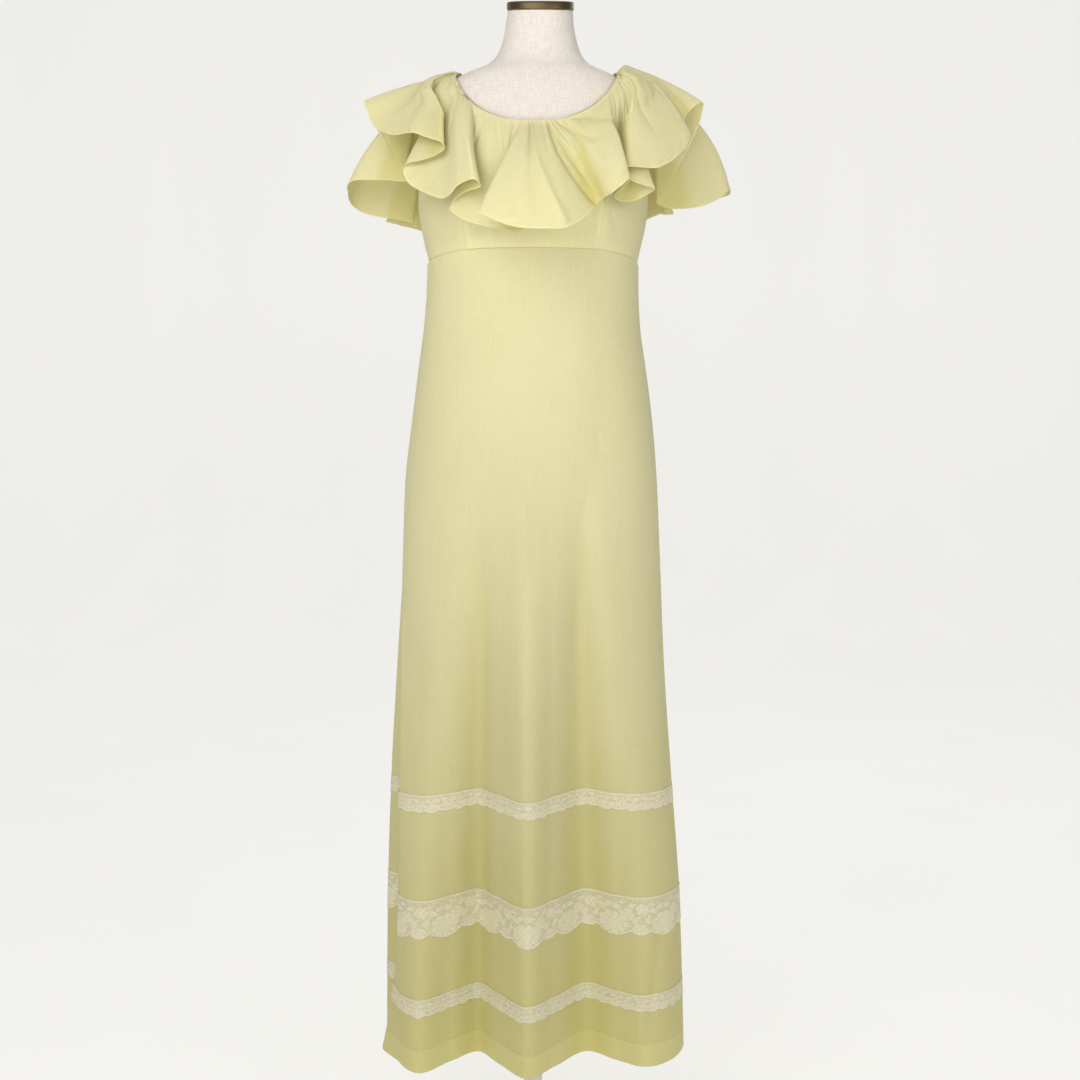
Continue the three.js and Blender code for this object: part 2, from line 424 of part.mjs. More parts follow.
// ---- ruffle: a row for each ridge, valley and turn of its free edge, all round ----
// neck is the azimuth where that ray of the ruffle leaves the neckline; across and
// forward place the free edge in plan and drop is its depth below the shoulder.
const RUFFLE = [
  { neck: -180, across: 0, forward: -216, drop: 190, bow: 14, lift: 0 },
  { neck: -176, across: -26, forward: -206, drop: 194, bow: 14, lift: 0 },
  { neck: -172, across: -46, forward: -172, drop: 203, bow: 12, lift: 0 },
  { neck: -168, across: -64, forward: -162, drop: 204, bow: 12, lift: 0 },
  { neck: -163, across: -88, forward: -184, drop: 194, bow: 14, lift: 0 },
  { neck: -158, across: -114, forward: -202, drop: 186, bow: 16, lift: 0 },
  { neck: -153, across: -136, forward: -190, drop: 186, bow: 16, lift: 0 },
  { neck: -149, across: -140, forward: -160, drop: 193, bow: 12, lift: 0 },
  { neck: -145, across: -146, forward: -140, drop: 196, bow: 12, lift: 0 },
  { neck: -141, across: -166, forward: -146, drop: 190, bow: 14, lift: 0 },
  { neck: -137, across: -192, forward: -158, drop: 182, bow: 18, lift: 0 },
  { neck: -133, across: -214, forward: -152, drop: 177, bow: 20, lift: 0 },
  { neck: -130, across: -214, forward: -128, drop: 180, bow: 20, lift: 0 },
  { neck: -127, across: -188, forward: -112, drop: 185, bow: 16, lift: 0 },
  { neck: -124, across: -174, forward: -100, drop: 186, bow: 14, lift: 0 },
  { neck: -121, across: -198, forward: -97, drop: 180, bow: 18, lift: 0 },
  { neck: -118, across: -236, forward: -97, drop: 174, bow: 24, lift: 0 },
  { neck: -115, across: -259, forward: -86, drop: 163, bow: 28, lift: 0 },
  { neck: -112, across: -262, forward: -56, drop: 150, bow: 30, lift: 0 },
  { neck: -110, across: -254, forward: -26, drop: 138, bow: 28, lift: 0 },
  { neck: -107, across: -212, forward: -18, drop: 137, bow: 24, lift: 0 },
  { neck: -104, across: -176, forward: -8, drop: 140, bow: 18, lift: 0 },
  { neck: -102, across: -178, forward: 6, drop: 126, bow: 14, lift: 0 },
  { neck: -100.5, across: -203, forward: 4, drop: 92, bow: 16, lift: 0 },
  { neck: -99, across: -224, forward: 0, drop: 52, bow: 10, lift: 0 },
  { neck: -97.5, across: -230, forward: 6, drop: 34, bow: 9, lift: 0 },
  { neck: -96, across: -227, forward: 20, drop: 46, bow: 10, lift: 8 },
  { neck: -94, across: -214, forward: 40, drop: 75, bow: 12, lift: 10 },
  { neck: -92, across: -186, forward: 72, drop: 93, bow: 14, lift: 12 },
  { neck: -89.5, across: -158, forward: 98, drop: 95, bow: 13, lift: 14 },
  { neck: -87.5, across: -136, forward: 116, drop: 105, bow: 12, lift: 14 },
  { neck: -85.5, across: -118, forward: 132, drop: 114, bow: 14, lift: 14 },
  { neck: -83.5, across: -115, forward: 131, drop: 123, bow: 12, lift: 13 },
  { neck: -81, across: -136, forward: 112, drop: 130, bow: 10, lift: 8 },
  { neck: -78, across: -169, forward: 92, drop: 135, bow: 8, lift: 3 },
  { neck: -74, across: -166, forward: 92, drop: 156, bow: 9, lift: 1 },
  { neck: -68, across: -146, forward: 108, drop: 172, bow: 10, lift: 0 },
  { neck: -61, across: -120, forward: 131, drop: 185, bow: 12, lift: 0 },
  { neck: -55, across: -107, forward: 145, drop: 183, bow: 13, lift: 0 },
  { neck: -48, across: -96, forward: 156, drop: 173, bow: 14, lift: 0 },
  { neck: -41, across: -84, forward: 164, drop: 168, bow: 14, lift: 0 },
  { neck: -34, across: -73, forward: 170, drop: 167, bow: 14, lift: 0 },
  { neck: -29, across: -66, forward: 163, drop: 175, bow: 12, lift: 0 },
  { neck: -26, across: -85, forward: 146, drop: 178, bow: 8, lift: 1 },
  { neck: -24, across: -99, forward: 136, drop: 184, bow: 6, lift: 1 },
  { neck: -22, across: -108, forward: 132, drop: 197, bow: 6, lift: 2 },
  { neck: -20, across: -100, forward: 132, drop: 206, bow: 6, lift: 2 },
  { neck: -17.5, across: -87, forward: 137, drop: 214, bow: 7, lift: 3 },
  { neck: -15, across: -62, forward: 143, drop: 222, bow: 8, lift: 4 },
  { neck: -12.5, across: -38, forward: 146, drop: 228, bow: 8, lift: 4 },
  { neck: -10.5, across: -21, forward: 148, drop: 230, bow: 8, lift: 5 },
  { neck: -8.5, across: -13, forward: 156, drop: 226, bow: 8, lift: 5 },
  { neck: -7, across: -31, forward: 165, drop: 219, bow: 9, lift: 6 },
  { neck: -5.5, across: -50, forward: 173, drop: 213, bow: 10, lift: 6 },
  { neck: -4, across: -68, forward: 182, drop: 208, bow: 12, lift: 7 },
  { neck: -2.5, across: -50, forward: 193, drop: 220, bow: 14, lift: 7 },
  { neck: -1, across: -28, forward: 202, drop: 229, bow: 15, lift: 7 },
  { neck: 0.4, across: -5, forward: 206, drop: 233, bow: 15, lift: 8 },
  { neck: 1.8, across: 19, forward: 204, drop: 233, bow: 15, lift: 8 },
  { neck: 3.2, across: 42, forward: 199, drop: 232, bow: 14, lift: 9 },
  { neck: 4.6, across: 63, forward: 182, drop: 219, bow: 10, lift: 9 },
  { neck: 5.8, across: 79, forward: 160, drop: 202, bow: 4, lift: 9 },
  { neck: 6.8, across: 87, forward: 146, drop: 190, bow: 0, lift: 10 },
  { neck: 8.4, across: 91, forward: 150, drop: 187, bow: 2, lift: 10 },
  { neck: 12, across: 100, forward: 170, drop: 185, bow: 11, lift: 11 },
  { neck: 21, across: 114, forward: 172, drop: 174, bow: 14, lift: 13 },
  { neck: 31, across: 124, forward: 164, drop: 165, bow: 14, lift: 16 },
  { neck: 36, across: 118, forward: 148, drop: 173, bow: 10, lift: 13 },
  { neck: 40, across: 106, forward: 128, drop: 181, bow: 6, lift: 6 },
  { neck: 44, across: 118, forward: 112, drop: 186, bow: 5, lift: 0 },
  { neck: 48, across: 134, forward: 106, drop: 184, bow: 6, lift: 0 },
  { neck: 52, across: 151, forward: 108, drop: 176, bow: 8, lift: 1 },
  { neck: 55, across: 160, forward: 115, drop: 170, bow: 8, lift: 3 },
  { neck: 57.5, across: 144, forward: 124, drop: 166, bow: 8, lift: 6 },
  { neck: 60, across: 127, forward: 126, drop: 160, bow: 8, lift: 9 },
  { neck: 62, across: 115, forward: 125, drop: 151, bow: 9, lift: 12 },
  { neck: 64, across: 120, forward: 134, drop: 146, bow: 12, lift: 15 },
  { neck: 67, across: 134, forward: 132, drop: 145, bow: 14, lift: 16 },
  { neck: 71, across: 161, forward: 118, drop: 144, bow: 16, lift: 16 },
  { neck: 74, across: 176, forward: 106, drop: 136, bow: 15, lift: 15 },
  { neck: 77, across: 190, forward: 91, drop: 125, bow: 15, lift: 14 },
  { neck: 80.5, across: 205, forward: 72, drop: 107, bow: 15, lift: 13 },
  { neck: 84, across: 211, forward: 57, drop: 90, bow: 15, lift: 12 },
  { neck: 87, across: 205, forward: 43, drop: 72, bow: 16, lift: 10 },
  { neck: 90, across: 212, forward: 27, drop: 53, bow: 15, lift: 8 },
  { neck: 92.5, across: 232, forward: 8, drop: 37, bow: 14, lift: 6 },
  { neck: 95, across: 231, forward: -6, drop: 57, bow: 14, lift: 3 },
  { neck: 97.5, across: 215, forward: -14, drop: 96, bow: 15, lift: 0 },
  { neck: 100, across: 188, forward: -18, drop: 145, bow: 14, lift: 0 },
  { neck: 102, across: 172, forward: -22, drop: 166, bow: 12, lift: 0 },
  { neck: 104.5, across: 188, forward: -28, drop: 174, bow: 16, lift: 0 },
  { neck: 107, across: 209, forward: -34, drop: 174, bow: 20, lift: 0 },
  { neck: 110, across: 234, forward: -43, drop: 170, bow: 34, lift: 0 },
  { neck: 113, across: 258, forward: -54, drop: 160, bow: 45, lift: 0 },
  { neck: 116.5, across: 279, forward: -68, drop: 143, bow: 49, lift: 0 },
  { neck: 119.5, across: 280, forward: -104, drop: 146, bow: 36, lift: 0 },
  { neck: 122, across: 240, forward: -108, drop: 154, bow: 24, lift: 0 },
  { neck: 125, across: 192, forward: -108, drop: 166, bow: 18, lift: 0 },
  { neck: 129, across: 190, forward: -134, drop: 168, bow: 16, lift: 0 },
  { neck: 133, across: 208, forward: -158, drop: 164, bow: 20, lift: 0 },
  { neck: 137, across: 188, forward: -168, drop: 163, bow: 16, lift: 0 },
  { neck: 142, across: 148, forward: -144, drop: 184, bow: 12, lift: 0 },
  { neck: 147, across: 134, forward: -160, drop: 194, bow: 12, lift: 0 },
  { neck: 152, across: 130, forward: -192, drop: 187, bow: 16, lift: 0 },
  { neck: 157, across: 104, forward: -204, drop: 187, bow: 16, lift: 0 },
  { neck: 163, across: 66, forward: -176, drop: 200, bow: 12, lift: 0 },
  { neck: 168, across: 48, forward: -168, drop: 204, bow: 12, lift: 0 },
  { neck: 174, across: 26, forward: -204, drop: 194, bow: 14, lift: 0 },
  { neck: 180, across: 0, forward: -216, drop: 190, bow: 14, lift: 0 },
];
const LAST = RUFFLE.length - 1;
const ruffleRows = RUFFLE.map((row, place) => ({ ...row, place }));
const edge = Object.fromEntries(['across', 'forward', 'drop', 'bow', 'lift'].map(
  (name) => [name, loopColumn(ruffleRows, 'place', name)]));
const neckAt = column(ruffleRows, 'place', 'neck');

// Moves a point level out of the body until it is clear by a distance, which counts
// for more where the shoulder slopes.
function clearOfBody(point, distance) {
  const z = clamp(point.z, 1000, 1560);
  const x = point.x - body.centre(z);
  const side = x < 0 ? body.left : body.right;
  const face = point.y < 0 ? body.front : body.back;
  const slope = Math.max(Math.abs(side(z + 2) - side(z - 2)), Math.abs(face(z + 2) - face(z - 2))) / 4;
  const away = distance * Math.min(Math.hypot(1, slope), 2.5);
  const s = Math.abs(x) / (side(z) + away);
  const c = Math.abs(point.y) / (face(z) + away + (point.y < 0 ? BUST.rise : 0));
  const reach = (s ** (2 / SQUARE) + c ** (2 / SQUARE)) ** (SQUARE / 2);
  if (reach < 1) {
    point.x = body.centre(z) + x / reach;
    point.y /= reach;
  }
  return point;
}

// rise is 1 at the neckline and 0 at the free edge; a ray bends up and away by bow.
// The folds open out of a smooth cone, so that they die away towards the neckline.
const edgePoint = (place) => new THREE.Vector3(
  edge.across(place), -edge.forward(place), SHOULDER_Z - edge.drop(place));
function easedEdge(place) {
  const sum = new THREE.Vector3();
  let weight = 0;
  for (let k = -EASE; k <= EASE; k += 1) {
    const w = EASE + 1 - Math.abs(k);
    sum.addScaledVector(edgePoint(place + k), w);
    weight += w;
  }
  return sum.divideScalar(weight);
}
const ruffleStand = (at) => RUFFLE_STAND.front
  + (RUFFLE_STAND[at < 0 ? 'left' : 'right'] - RUFFLE_STAND.front) * Math.sin(rad(at)) ** 4;
function rufflePoint(place, rise) {
  const at = neckAt(place);
  const v = 1 - rise;
  const neck = raised(BODY_SURFACE, at, neckZ(at), FORM_GAP + WALL);
  neck.z += SEAM_GAP + ruffleStand(at) * smooth(v * 8);
  const eased = easedEdge(place);
  const fold = edgePoint(place).sub(eased);
  const ray = eased.clone().sub(neck);
  const level = Math.hypot(ray.x, ray.y);
  const bend = new THREE.Vector3(-ray.z * ray.x / level, -ray.z * ray.y / level, level).normalize();
  const point = neck.lerp(eased, v).addScaledVector(fold, Math.max(v, 0) ** OPENING)
    .addScaledVector(bend, edge.bow(place) * 4 * v * (1 - v));
  const clear = FORM_GAP + WALL + 0.6 + RUFFLE_CLEAR * smooth(v * 4) + edge.lift(place) * smooth(v * 2);
  return v > 0 ? clearOfBody(point, clear) : point;
}
const RUFFLE_SURFACE = {
  point: (place, rise) => rufflePoint(((place % LAST) + LAST) % LAST, rise), stepA: 0.02, stepB: 0.005, lean: () => 1,
};
const RUFFLE_RISES = [0, 0.18, 0.38, 0.58, 0.78, 0.92, 1];
const placeOfNeck = (at) => {
  let low = 0;
  let high = RUFFLE.length - 1;
  for (let i = 0; i < 40; i += 1) {
    const middle = (low + high) / 2;
    if (neckAt(middle) < at) low = middle; else high = middle;
  }
  return (low + high) / 2;
};
const [seamLeft, seamRight] = [placeOfNeck(-90), placeOfNeck(90)];
const RUFFLE_SEAM = 0.03;
const ruffleColumns = (from, to, fine) => steps(from + RUFFLE_SEAM, to - RUFFLE_SEAM, Math.round((to - from) * fine));
group.add(
  cloth('ruffle_front', RUFFLE_SURFACE, gridOf(ruffleColumns(seamLeft, seamRight, 1.76), RUFFLE_RISES), 0, YELLOW),
  cloth('ruffle_back', RUFFLE_SURFACE,
    gridOf(ruffleColumns(seamRight, LAST + seamLeft, 1.4), RUFFLE_RISES), 0, YELLOW),
);

export default group;
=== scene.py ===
"""Maxi dress on a limbless dress form: the cloth, lace and form as they look. Metres, +Z up, front faces -Y."""
import math

import bpy
import numpy as np
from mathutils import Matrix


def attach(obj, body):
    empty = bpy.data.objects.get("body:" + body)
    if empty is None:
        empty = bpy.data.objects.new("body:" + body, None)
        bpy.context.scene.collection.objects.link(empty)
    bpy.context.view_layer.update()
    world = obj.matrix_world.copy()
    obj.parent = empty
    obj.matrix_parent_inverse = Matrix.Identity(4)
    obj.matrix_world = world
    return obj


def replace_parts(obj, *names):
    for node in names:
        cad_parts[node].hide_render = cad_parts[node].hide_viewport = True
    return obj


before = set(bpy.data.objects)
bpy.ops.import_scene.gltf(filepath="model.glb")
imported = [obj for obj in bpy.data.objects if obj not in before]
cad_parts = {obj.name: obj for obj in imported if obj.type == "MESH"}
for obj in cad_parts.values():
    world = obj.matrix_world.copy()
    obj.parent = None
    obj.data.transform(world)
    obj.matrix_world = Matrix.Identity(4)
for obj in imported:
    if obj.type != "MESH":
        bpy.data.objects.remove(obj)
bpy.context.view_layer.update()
MM = 0.001
rad = np.radians


# --- sizes in mm and degrees, as in the part
SEAM_GAP, LAY_GAP, FORM_GAP, WALL = 0.3, 0.3, 2.3, 1.2
OUTSIDE, INSIDE = 0.62, 0.05  # faces of the bodice beyond FORM_GAP
HEM_Z, SKIRT_TOP, BODICE_FOOT, SHOULDER_Z = 154, 1262, 1264, 1508
SKIRT_DROP = SKIRT_TOP - HEM_Z
HEM_DEPTH = 31
HEM_CORNER = {"at": -86, "reach": 18, "start": 390, "out": 27}
RUFFLE_STAND = {"front": 2, "left": 8, "right": 18}
RUFFLE_CLEAR, RUFFLE_WIDTH, RUFFLE_SEAM = 5, 140, 0.004
EASE, OPENING = 6, 1.5
SQUARE = 0.9
BUST_ACROSS, BUST_Z, BUST_SPREAD, BUST_RISE = 68, 1322, 44, 7
PRINCESS, CORNER, UNDERARM = 35, 0.66, 0.38
SEAM_ANGLE, SHOULDER_ANGLE = 0.03, 0.12
SIDE_SEAM_LEFT, SIDE_SEAM_RIGHT = -84, 88


# The body in level sections: z, left and right half widths, front and back depths, centre, tilt.
BODY = [
    (900, 142, 142, 86, 92, 0, 0), (1000, 150, 150, 92, 100, 0, 0), (1080, 142, 142, 92, 94, 0, 0),
    (1170, 127, 127, 90, 84, 0, 0), (1220, 132, 132, 95, 86, 0, 0), (1262, 142, 142, 104, 91, 0, 0),
    (1320, 153, 154, 118, 97, 0, 0), (1360, 156, 157, 113, 100, 0, 0), (1400, 159, 160, 101, 102, 1, 0),
    (1440, 158, 159, 89, 99, 2, 0), (1465, 151, 152, 80, 94, 3, 0), (1487, 134, 135, 71, 85, 4, 0),
    (1500, 116, 117, 65, 77, 5, 0.01), (1508, 102, 103, 61, 71, 6, 0.02), (1516, 84, 84, 56, 64, 7, 0.05),
    (1524, 69, 69, 52, 58, 8, 0.09), (1536, 58, 58, 48, 52, 9, 0.13), (1556, 50, 51, 45, 48, 9, 0.18),
    (1577, 46, 47, 44, 46, 9, 0.22), (1597, 44, 45, 44, 45, 10, 0.24),
]

# Lines on the body: azimuth and z.
NECKLINE_FRONT = [
    (0, 1427), (8, 1429), (17, 1437), (26, 1450), (36, 1469), (48, 1487), (62, 1498), (76, 1505), (90, 1508),
]
NECKLINE_BACK = [
    (90, 1508), (105, 1507), (122, 1501), (140, 1494), (160, 1489), (180, 1487),
]
EMPIRE = [
    (0, 1264), (36, 1263), (62, 1257), (90, 1249), (180, 1246),
]

# Outer edges of the side panels: level up the panel, azimuth and z.
SIDE_FRONT_OUTER = [
    (0, 90, 1249), (0.2, 90, 1282), (0.38, 89, 1316), (0.46, 81, 1338), (0.55, 71, 1366), (0.66, 65, 1402),
    (0.78, 63, 1440), (0.9, 70, 1470), (1, 90, 1488),
]
BACK_OUTER = [
    (0, 90, 1249), (0.2, 90, 1282), (0.38, 91, 1316), (0.46, 99, 1338), (0.55, 108, 1366), (0.66, 113, 1402),
    (0.78, 115, 1440), (0.9, 109, 1470), (1, 90, 1488),
]

# The skirt before folding: z, left, right, front, back.
SKIRT = [
    (1262, 145, 145, 107, 94), (1225, 146, 145, 108, 97), (1163, 151, 148, 110, 102),
    (1121, 157, 154, 111, 106), (1038, 168, 165, 112, 114), (955, 178, 172, 112, 117),
    (872, 183, 176, 110, 116), (707, 192, 183, 106, 112), (541, 200, 193, 102, 107), (372, 205, 204, 98, 103),
    (154, 208, 210, 96, 100),
]

# The hem's folds: azimuth, across, forward, rise, start, haste.
FOLDS = [
    (-180, 6, -64, 3, 1040, 2.6), (-166, -44, -92, 0, 1030, 2.6), (-154, -92, -138, -4, 1040, 2.6),
    (-141, -136, -98, 0, 960, 2.2), (-130, -158, -62, 3, 900, 2), (-116, -198, -72, 2, 960, 2.4),
    (-103, -213, -34, 5, 1000, 2.4), (-92, -184, 6, 6, 1000, 2.4), (-80, -188, 58, 4, 960, 2.2),
    (-66, -180, 97, 0, 800, 1.5), (-52, -152, 116, -3, 760, 1.4), (-37, -112, 82, 0, 900, 2),
    (-23, -76, 58, 3, 1030, 2.8), (-12, -46, 93, 0, 1040, 3), (-3, -9, 132, -4, 1040, 3),
    (9, 30, 101, 0, 1040, 3), (22, 74, 57, 3, 1030, 2.8), (35, 116, 80, 0, 820, 1.8),
    (50, 155, 103, 0, 760, 1.4), (66, 192, 82, 2, 760, 1.4), (82, 212, 40, 5, 760, 1.4),
    (95, 203, -6, 4, 900, 1.8), (109, 208, -52, -2, 960, 2.2), (124, 176, -74, 0, 930, 2.2),
    (138, 138, -78, 2, 960, 2.2), (152, 98, -136, -4, 1040, 2.6), (166, 48, -100, 0, 1030, 2.6),
    (180, 6, -64, 3, 1040, 2.6),
]

# The ruffle's free edge: azimuth at the neck, across, forward, drop, bow, lift.
RUFFLE = [
    (-180, 0, -216, 190, 14, 0), (-176, -26, -206, 194, 14, 0), (-172, -46, -172, 203, 12, 0),
    (-168, -64, -162, 204, 12, 0), (-163, -88, -184, 194, 14, 0), (-158, -114, -202, 186, 16, 0),
    (-153, -136, -190, 186, 16, 0), (-149, -140, -160, 193, 12, 0), (-145, -146, -140, 196, 12, 0),
    (-141, -166, -146, 190, 14, 0), (-137, -192, -158, 182, 18, 0), (-133, -214, -152, 177, 20, 0),
    (-130, -214, -128, 180, 20, 0), (-127, -188, -112, 185, 16, 0), (-124, -174, -100, 186, 14, 0),
    (-121, -198, -97, 180, 18, 0), (-118, -236, -97, 174, 24, 0), (-115, -259, -86, 163, 28, 0),
    (-112, -262, -56, 150, 30, 0), (-110, -254, -26, 138, 28, 0), (-107, -212, -18, 137, 24, 0),
    (-104, -176, -8, 140, 18, 0), (-102, -178, 6, 126, 14, 0), (-100.5, -203, 4, 92, 16, 0),
    (-99, -224, 0, 52, 10, 0), (-97.5, -230, 6, 34, 9, 0), (-96, -227, 20, 46, 10, 8),
    (-94, -214, 40, 75, 12, 10), (-92, -186, 72, 93, 14, 12), (-89.5, -158, 98, 95, 13, 14),
    (-87.5, -136, 116, 105, 12, 14), (-85.5, -118, 132, 114, 14, 14), (-83.5, -115, 131, 123, 12, 13),
    (-81, -136, 112, 130, 10, 8), (-78, -169, 92, 135, 8, 3), (-74, -166, 92, 156, 9, 1),
    (-68, -146, 108, 172, 10, 0), (-61, -120, 131, 185, 12, 0), (-55, -107, 145, 183, 13, 0),
    (-48, -96, 156, 173, 14, 0), (-41, -84, 164, 168, 14, 0), (-34, -73, 170, 167, 14, 0),
    (-29, -66, 163, 175, 12, 0), (-26, -85, 146, 178, 8, 1), (-24, -99, 136, 184, 6, 1),
    (-22, -108, 132, 197, 6, 2), (-20, -100, 132, 206, 6, 2), (-17.5, -87, 137, 214, 7, 3),
    (-15, -62, 143, 222, 8, 4), (-12.5, -38, 146, 228, 8, 4), (-10.5, -21, 148, 230, 8, 5),
    (-8.5, -13, 156, 226, 8, 5), (-7, -31, 165, 219, 9, 6), (-5.5, -50, 173, 213, 10, 6),
    (-4, -68, 182, 208, 12, 7), (-2.5, -50, 193, 220, 14, 7), (-1, -28, 202, 229, 15, 7),
    (0.4, -5, 206, 233, 15, 8), (1.8, 19, 204, 233, 15, 8), (3.2, 42, 199, 232, 14, 9),
    (4.6, 63, 182, 219, 10, 9), (5.8, 79, 160, 202, 4, 9), (6.8, 87, 146, 190, 0, 10),
    (8.4, 91, 150, 187, 2, 10), (12, 100, 170, 185, 11, 11), (21, 114, 172, 174, 14, 13),
    (31, 124, 164, 165, 14, 16), (36, 118, 148, 173, 10, 13), (40, 106, 128, 181, 6, 6),
    (44, 118, 112, 186, 5, 0), (48, 134, 106, 184, 6, 0), (52, 151, 108, 176, 8, 1), (55, 160, 115, 170, 8, 3),
    (57.5, 144, 124, 166, 8, 6), (60, 127, 126, 160, 8, 9), (62, 115, 125, 151, 9, 12),
    (64, 120, 134, 146, 12, 15), (67, 134, 132, 145, 14, 16), (71, 161, 118, 144, 16, 16),
    (74, 176, 106, 136, 15, 15), (77, 190, 91, 125, 15, 14), (80.5, 205, 72, 107, 15, 13),
    (84, 211, 57, 90, 15, 12), (87, 205, 43, 72, 16, 10), (90, 212, 27, 53, 15, 8), (92.5, 232, 8, 37, 14, 6),
    (95, 231, -6, 57, 14, 3), (97.5, 215, -14, 96, 15, 0), (100, 188, -18, 145, 14, 0),
    (102, 172, -22, 166, 12, 0), (104.5, 188, -28, 174, 16, 0), (107, 209, -34, 174, 20, 0),
    (110, 234, -43, 170, 34, 0), (113, 258, -54, 160, 45, 0), (116.5, 279, -68, 143, 49, 0),
    (119.5, 280, -104, 146, 36, 0), (122, 240, -108, 154, 24, 0), (125, 192, -108, 166, 18, 0),
    (129, 190, -134, 168, 16, 0), (133, 208, -158, 164, 20, 0), (137, 188, -168, 163, 16, 0),
    (142, 148, -144, 184, 12, 0), (147, 134, -160, 194, 12, 0), (152, 130, -192, 187, 16, 0),
    (157, 104, -204, 187, 16, 0), (163, 66, -176, 200, 12, 0), (168, 48, -168, 204, 12, 0),
    (174, 26, -204, 194, 14, 0), (180, 0, -216, 190, 14, 0),
]


# --- reading the tables
def smooth(t):
    t = np.clip(t, 0, 1)
    return t * t * (3 - 2 * t)


def mix(a, b, t):
    return a + (b - a) * t


def hermite(x, y, slope, v, i):
    h = x[i + 1] - x[i]
    t = (v - x[i]) / h
    return ((2 * t**3 - 3 * t**2 + 1) * y[i] + (t**3 - 2 * t**2 + t) * h * slope[i]
            + (3 * t**2 - 2 * t**3) * y[i + 1] + (t**3 - t**2) * h * slope[i + 1])


def column(rows, k):
    """Column k against column 0, never overshooting a row."""
    rows = sorted(rows)
    x, y = np.array([r[0] for r in rows], float), np.array([r[k] for r in rows], float)
    chord = np.diff(y) / np.diff(x)
    slope = np.concatenate([chord[:1], np.zeros(len(x) - 2), chord[-1:]])
    a, b = chord[:-1], chord[1:]
    ok = a * b > 0
    slope[1:-1][ok] = 2 * a[ok] * b[ok] / (a + b)[ok]

    def read(v):
        v = np.clip(v, x[0], x[-1])
        return hermite(x, y, slope, v, np.clip(np.searchsorted(x, v, "right") - 1, 0, len(x) - 2))
    return read


def loop(rows, k, keys=None):
    """Column k of a closed table, which runs on from its last row into its first."""
    x = np.array([r[0] for r in rows] if keys is None else keys, float)
    y = np.array([r[k] for r in rows], float)
    turn = x[-1] - x[0]
    xx = np.concatenate([x[:-1] - turn, x[:-1], x + turn])
    yy = np.concatenate([y[:-1], y[:-1], y])
    slope = np.zeros(len(xx))
    slope[1:-1] = (yy[2:] - yy[:-2]) / (xx[2:] - xx[:-2])

    def read(v):
        v = x[0] + (np.asarray(v, float) - x[0]) % turn
        return hermite(xx, yy, slope, v, np.clip(np.searchsorted(xx, v, "right") - 1, 0, len(xx) - 2))
    return read


def wander(v, period, seed):
    """Smooth uneven values from -1 to 1 along one coordinate."""
    knots = np.random.RandomState(seed).uniform(-1, 1, 512)
    p = np.asarray(v, float) / period
    i = np.floor(p).astype(int)
    return mix(knots[i % 512], knots[(i + 1) % 512], smooth(p - i))


def wander2(u, v, size_u, size_v, seed):
    """Smooth uneven values from -1 to 1 over a surface."""
    knots = np.random.RandomState(seed).uniform(-1, 1, (128, 128))
    p, q = np.asarray(u, float) / size_u, np.asarray(v, float) / size_v
    i, j = np.floor(p).astype(int), np.floor(q).astype(int)
    s, t = smooth(p - i), smooth(q - j)
    low = mix(knots[i % 128, j % 128], knots[(i + 1) % 128, j % 128], s)
    high = mix(knots[i % 128, (j + 1) % 128], knots[(i + 1) % 128, (j + 1) % 128], s)
    return mix(low, high, t)


# --- the surfaces the cloth lies on
b_left, b_right, b_front, b_back, b_centre, b_tilt = (column(BODY, k) for k in range(1, 7))
neck_front, neck_back, empire = column(NECKLINE_FRONT, 1), column(NECKLINE_BACK, 1), column(EMPIRE, 1)


def neck_z(at):
    at = np.abs(at)
    return np.where(at <= 90, neck_front(at), neck_back(at))


def empire_z(at):
    return empire(np.abs(at))


def power(v):
    return np.sign(v) * np.abs(v) ** SQUARE


def stack(x, y, z):
    return np.stack(np.broadcast_arrays(x, y, z), -1).astype(float)


def body_point(at, z, out=0):
    s, c = power(np.sin(rad(at))), power(np.cos(rad(at)))
    x = np.where(s < 0, b_left(z) + out, b_right(z) + out) * s
    y = -np.where(c > 0, b_front(z) + out, b_back(z) + out) * c
    near = np.exp(-(((np.abs(x) - BUST_ACROSS) / BUST_SPREAD) ** 2) - ((z - BUST_Z) / BUST_SPREAD) ** 2)
    y = y - BUST_RISE * near * np.maximum(c, 0)
    return stack(b_centre(z) + x, y, z + b_tilt(z) * y)


def unit(v):
    return v / np.maximum(np.linalg.norm(v, axis=-1, keepdims=True), 1e-9)


def raised(point, a, b, distance, step_a, step_b, lean):
    along = point(a + step_a, b) - point(a - step_a, b)
    up = point(a, b + step_b) - point(a, b - step_b)
    outward, base = unit(np.cross(along, up)), point(a, b)
    outward[..., 2] *= lean(base[..., 2])
    return base + unit(outward) * np.asarray(distance)[..., None]


def on_body(a, b, distance):
    return raised(body_point, a, b, distance, 0.2, 0.2, lambda z: smooth((z - BODICE_FOOT) / 60))


s_left, s_right, s_front, s_back = (column(SKIRT, k) for k in range(1, 5))
f_across, f_forward, f_rise, f_start, f_haste = (loop(FOLDS, k) for k in range(1, 6))


def skirt_section(at, z):
    s, c = power(np.sin(rad(at))), power(np.cos(rad(at)))
    return np.where(s < 0, s_left(z), s_right(z)) * s, np.where(c > 0, s_front(z), s_back(z)) * c


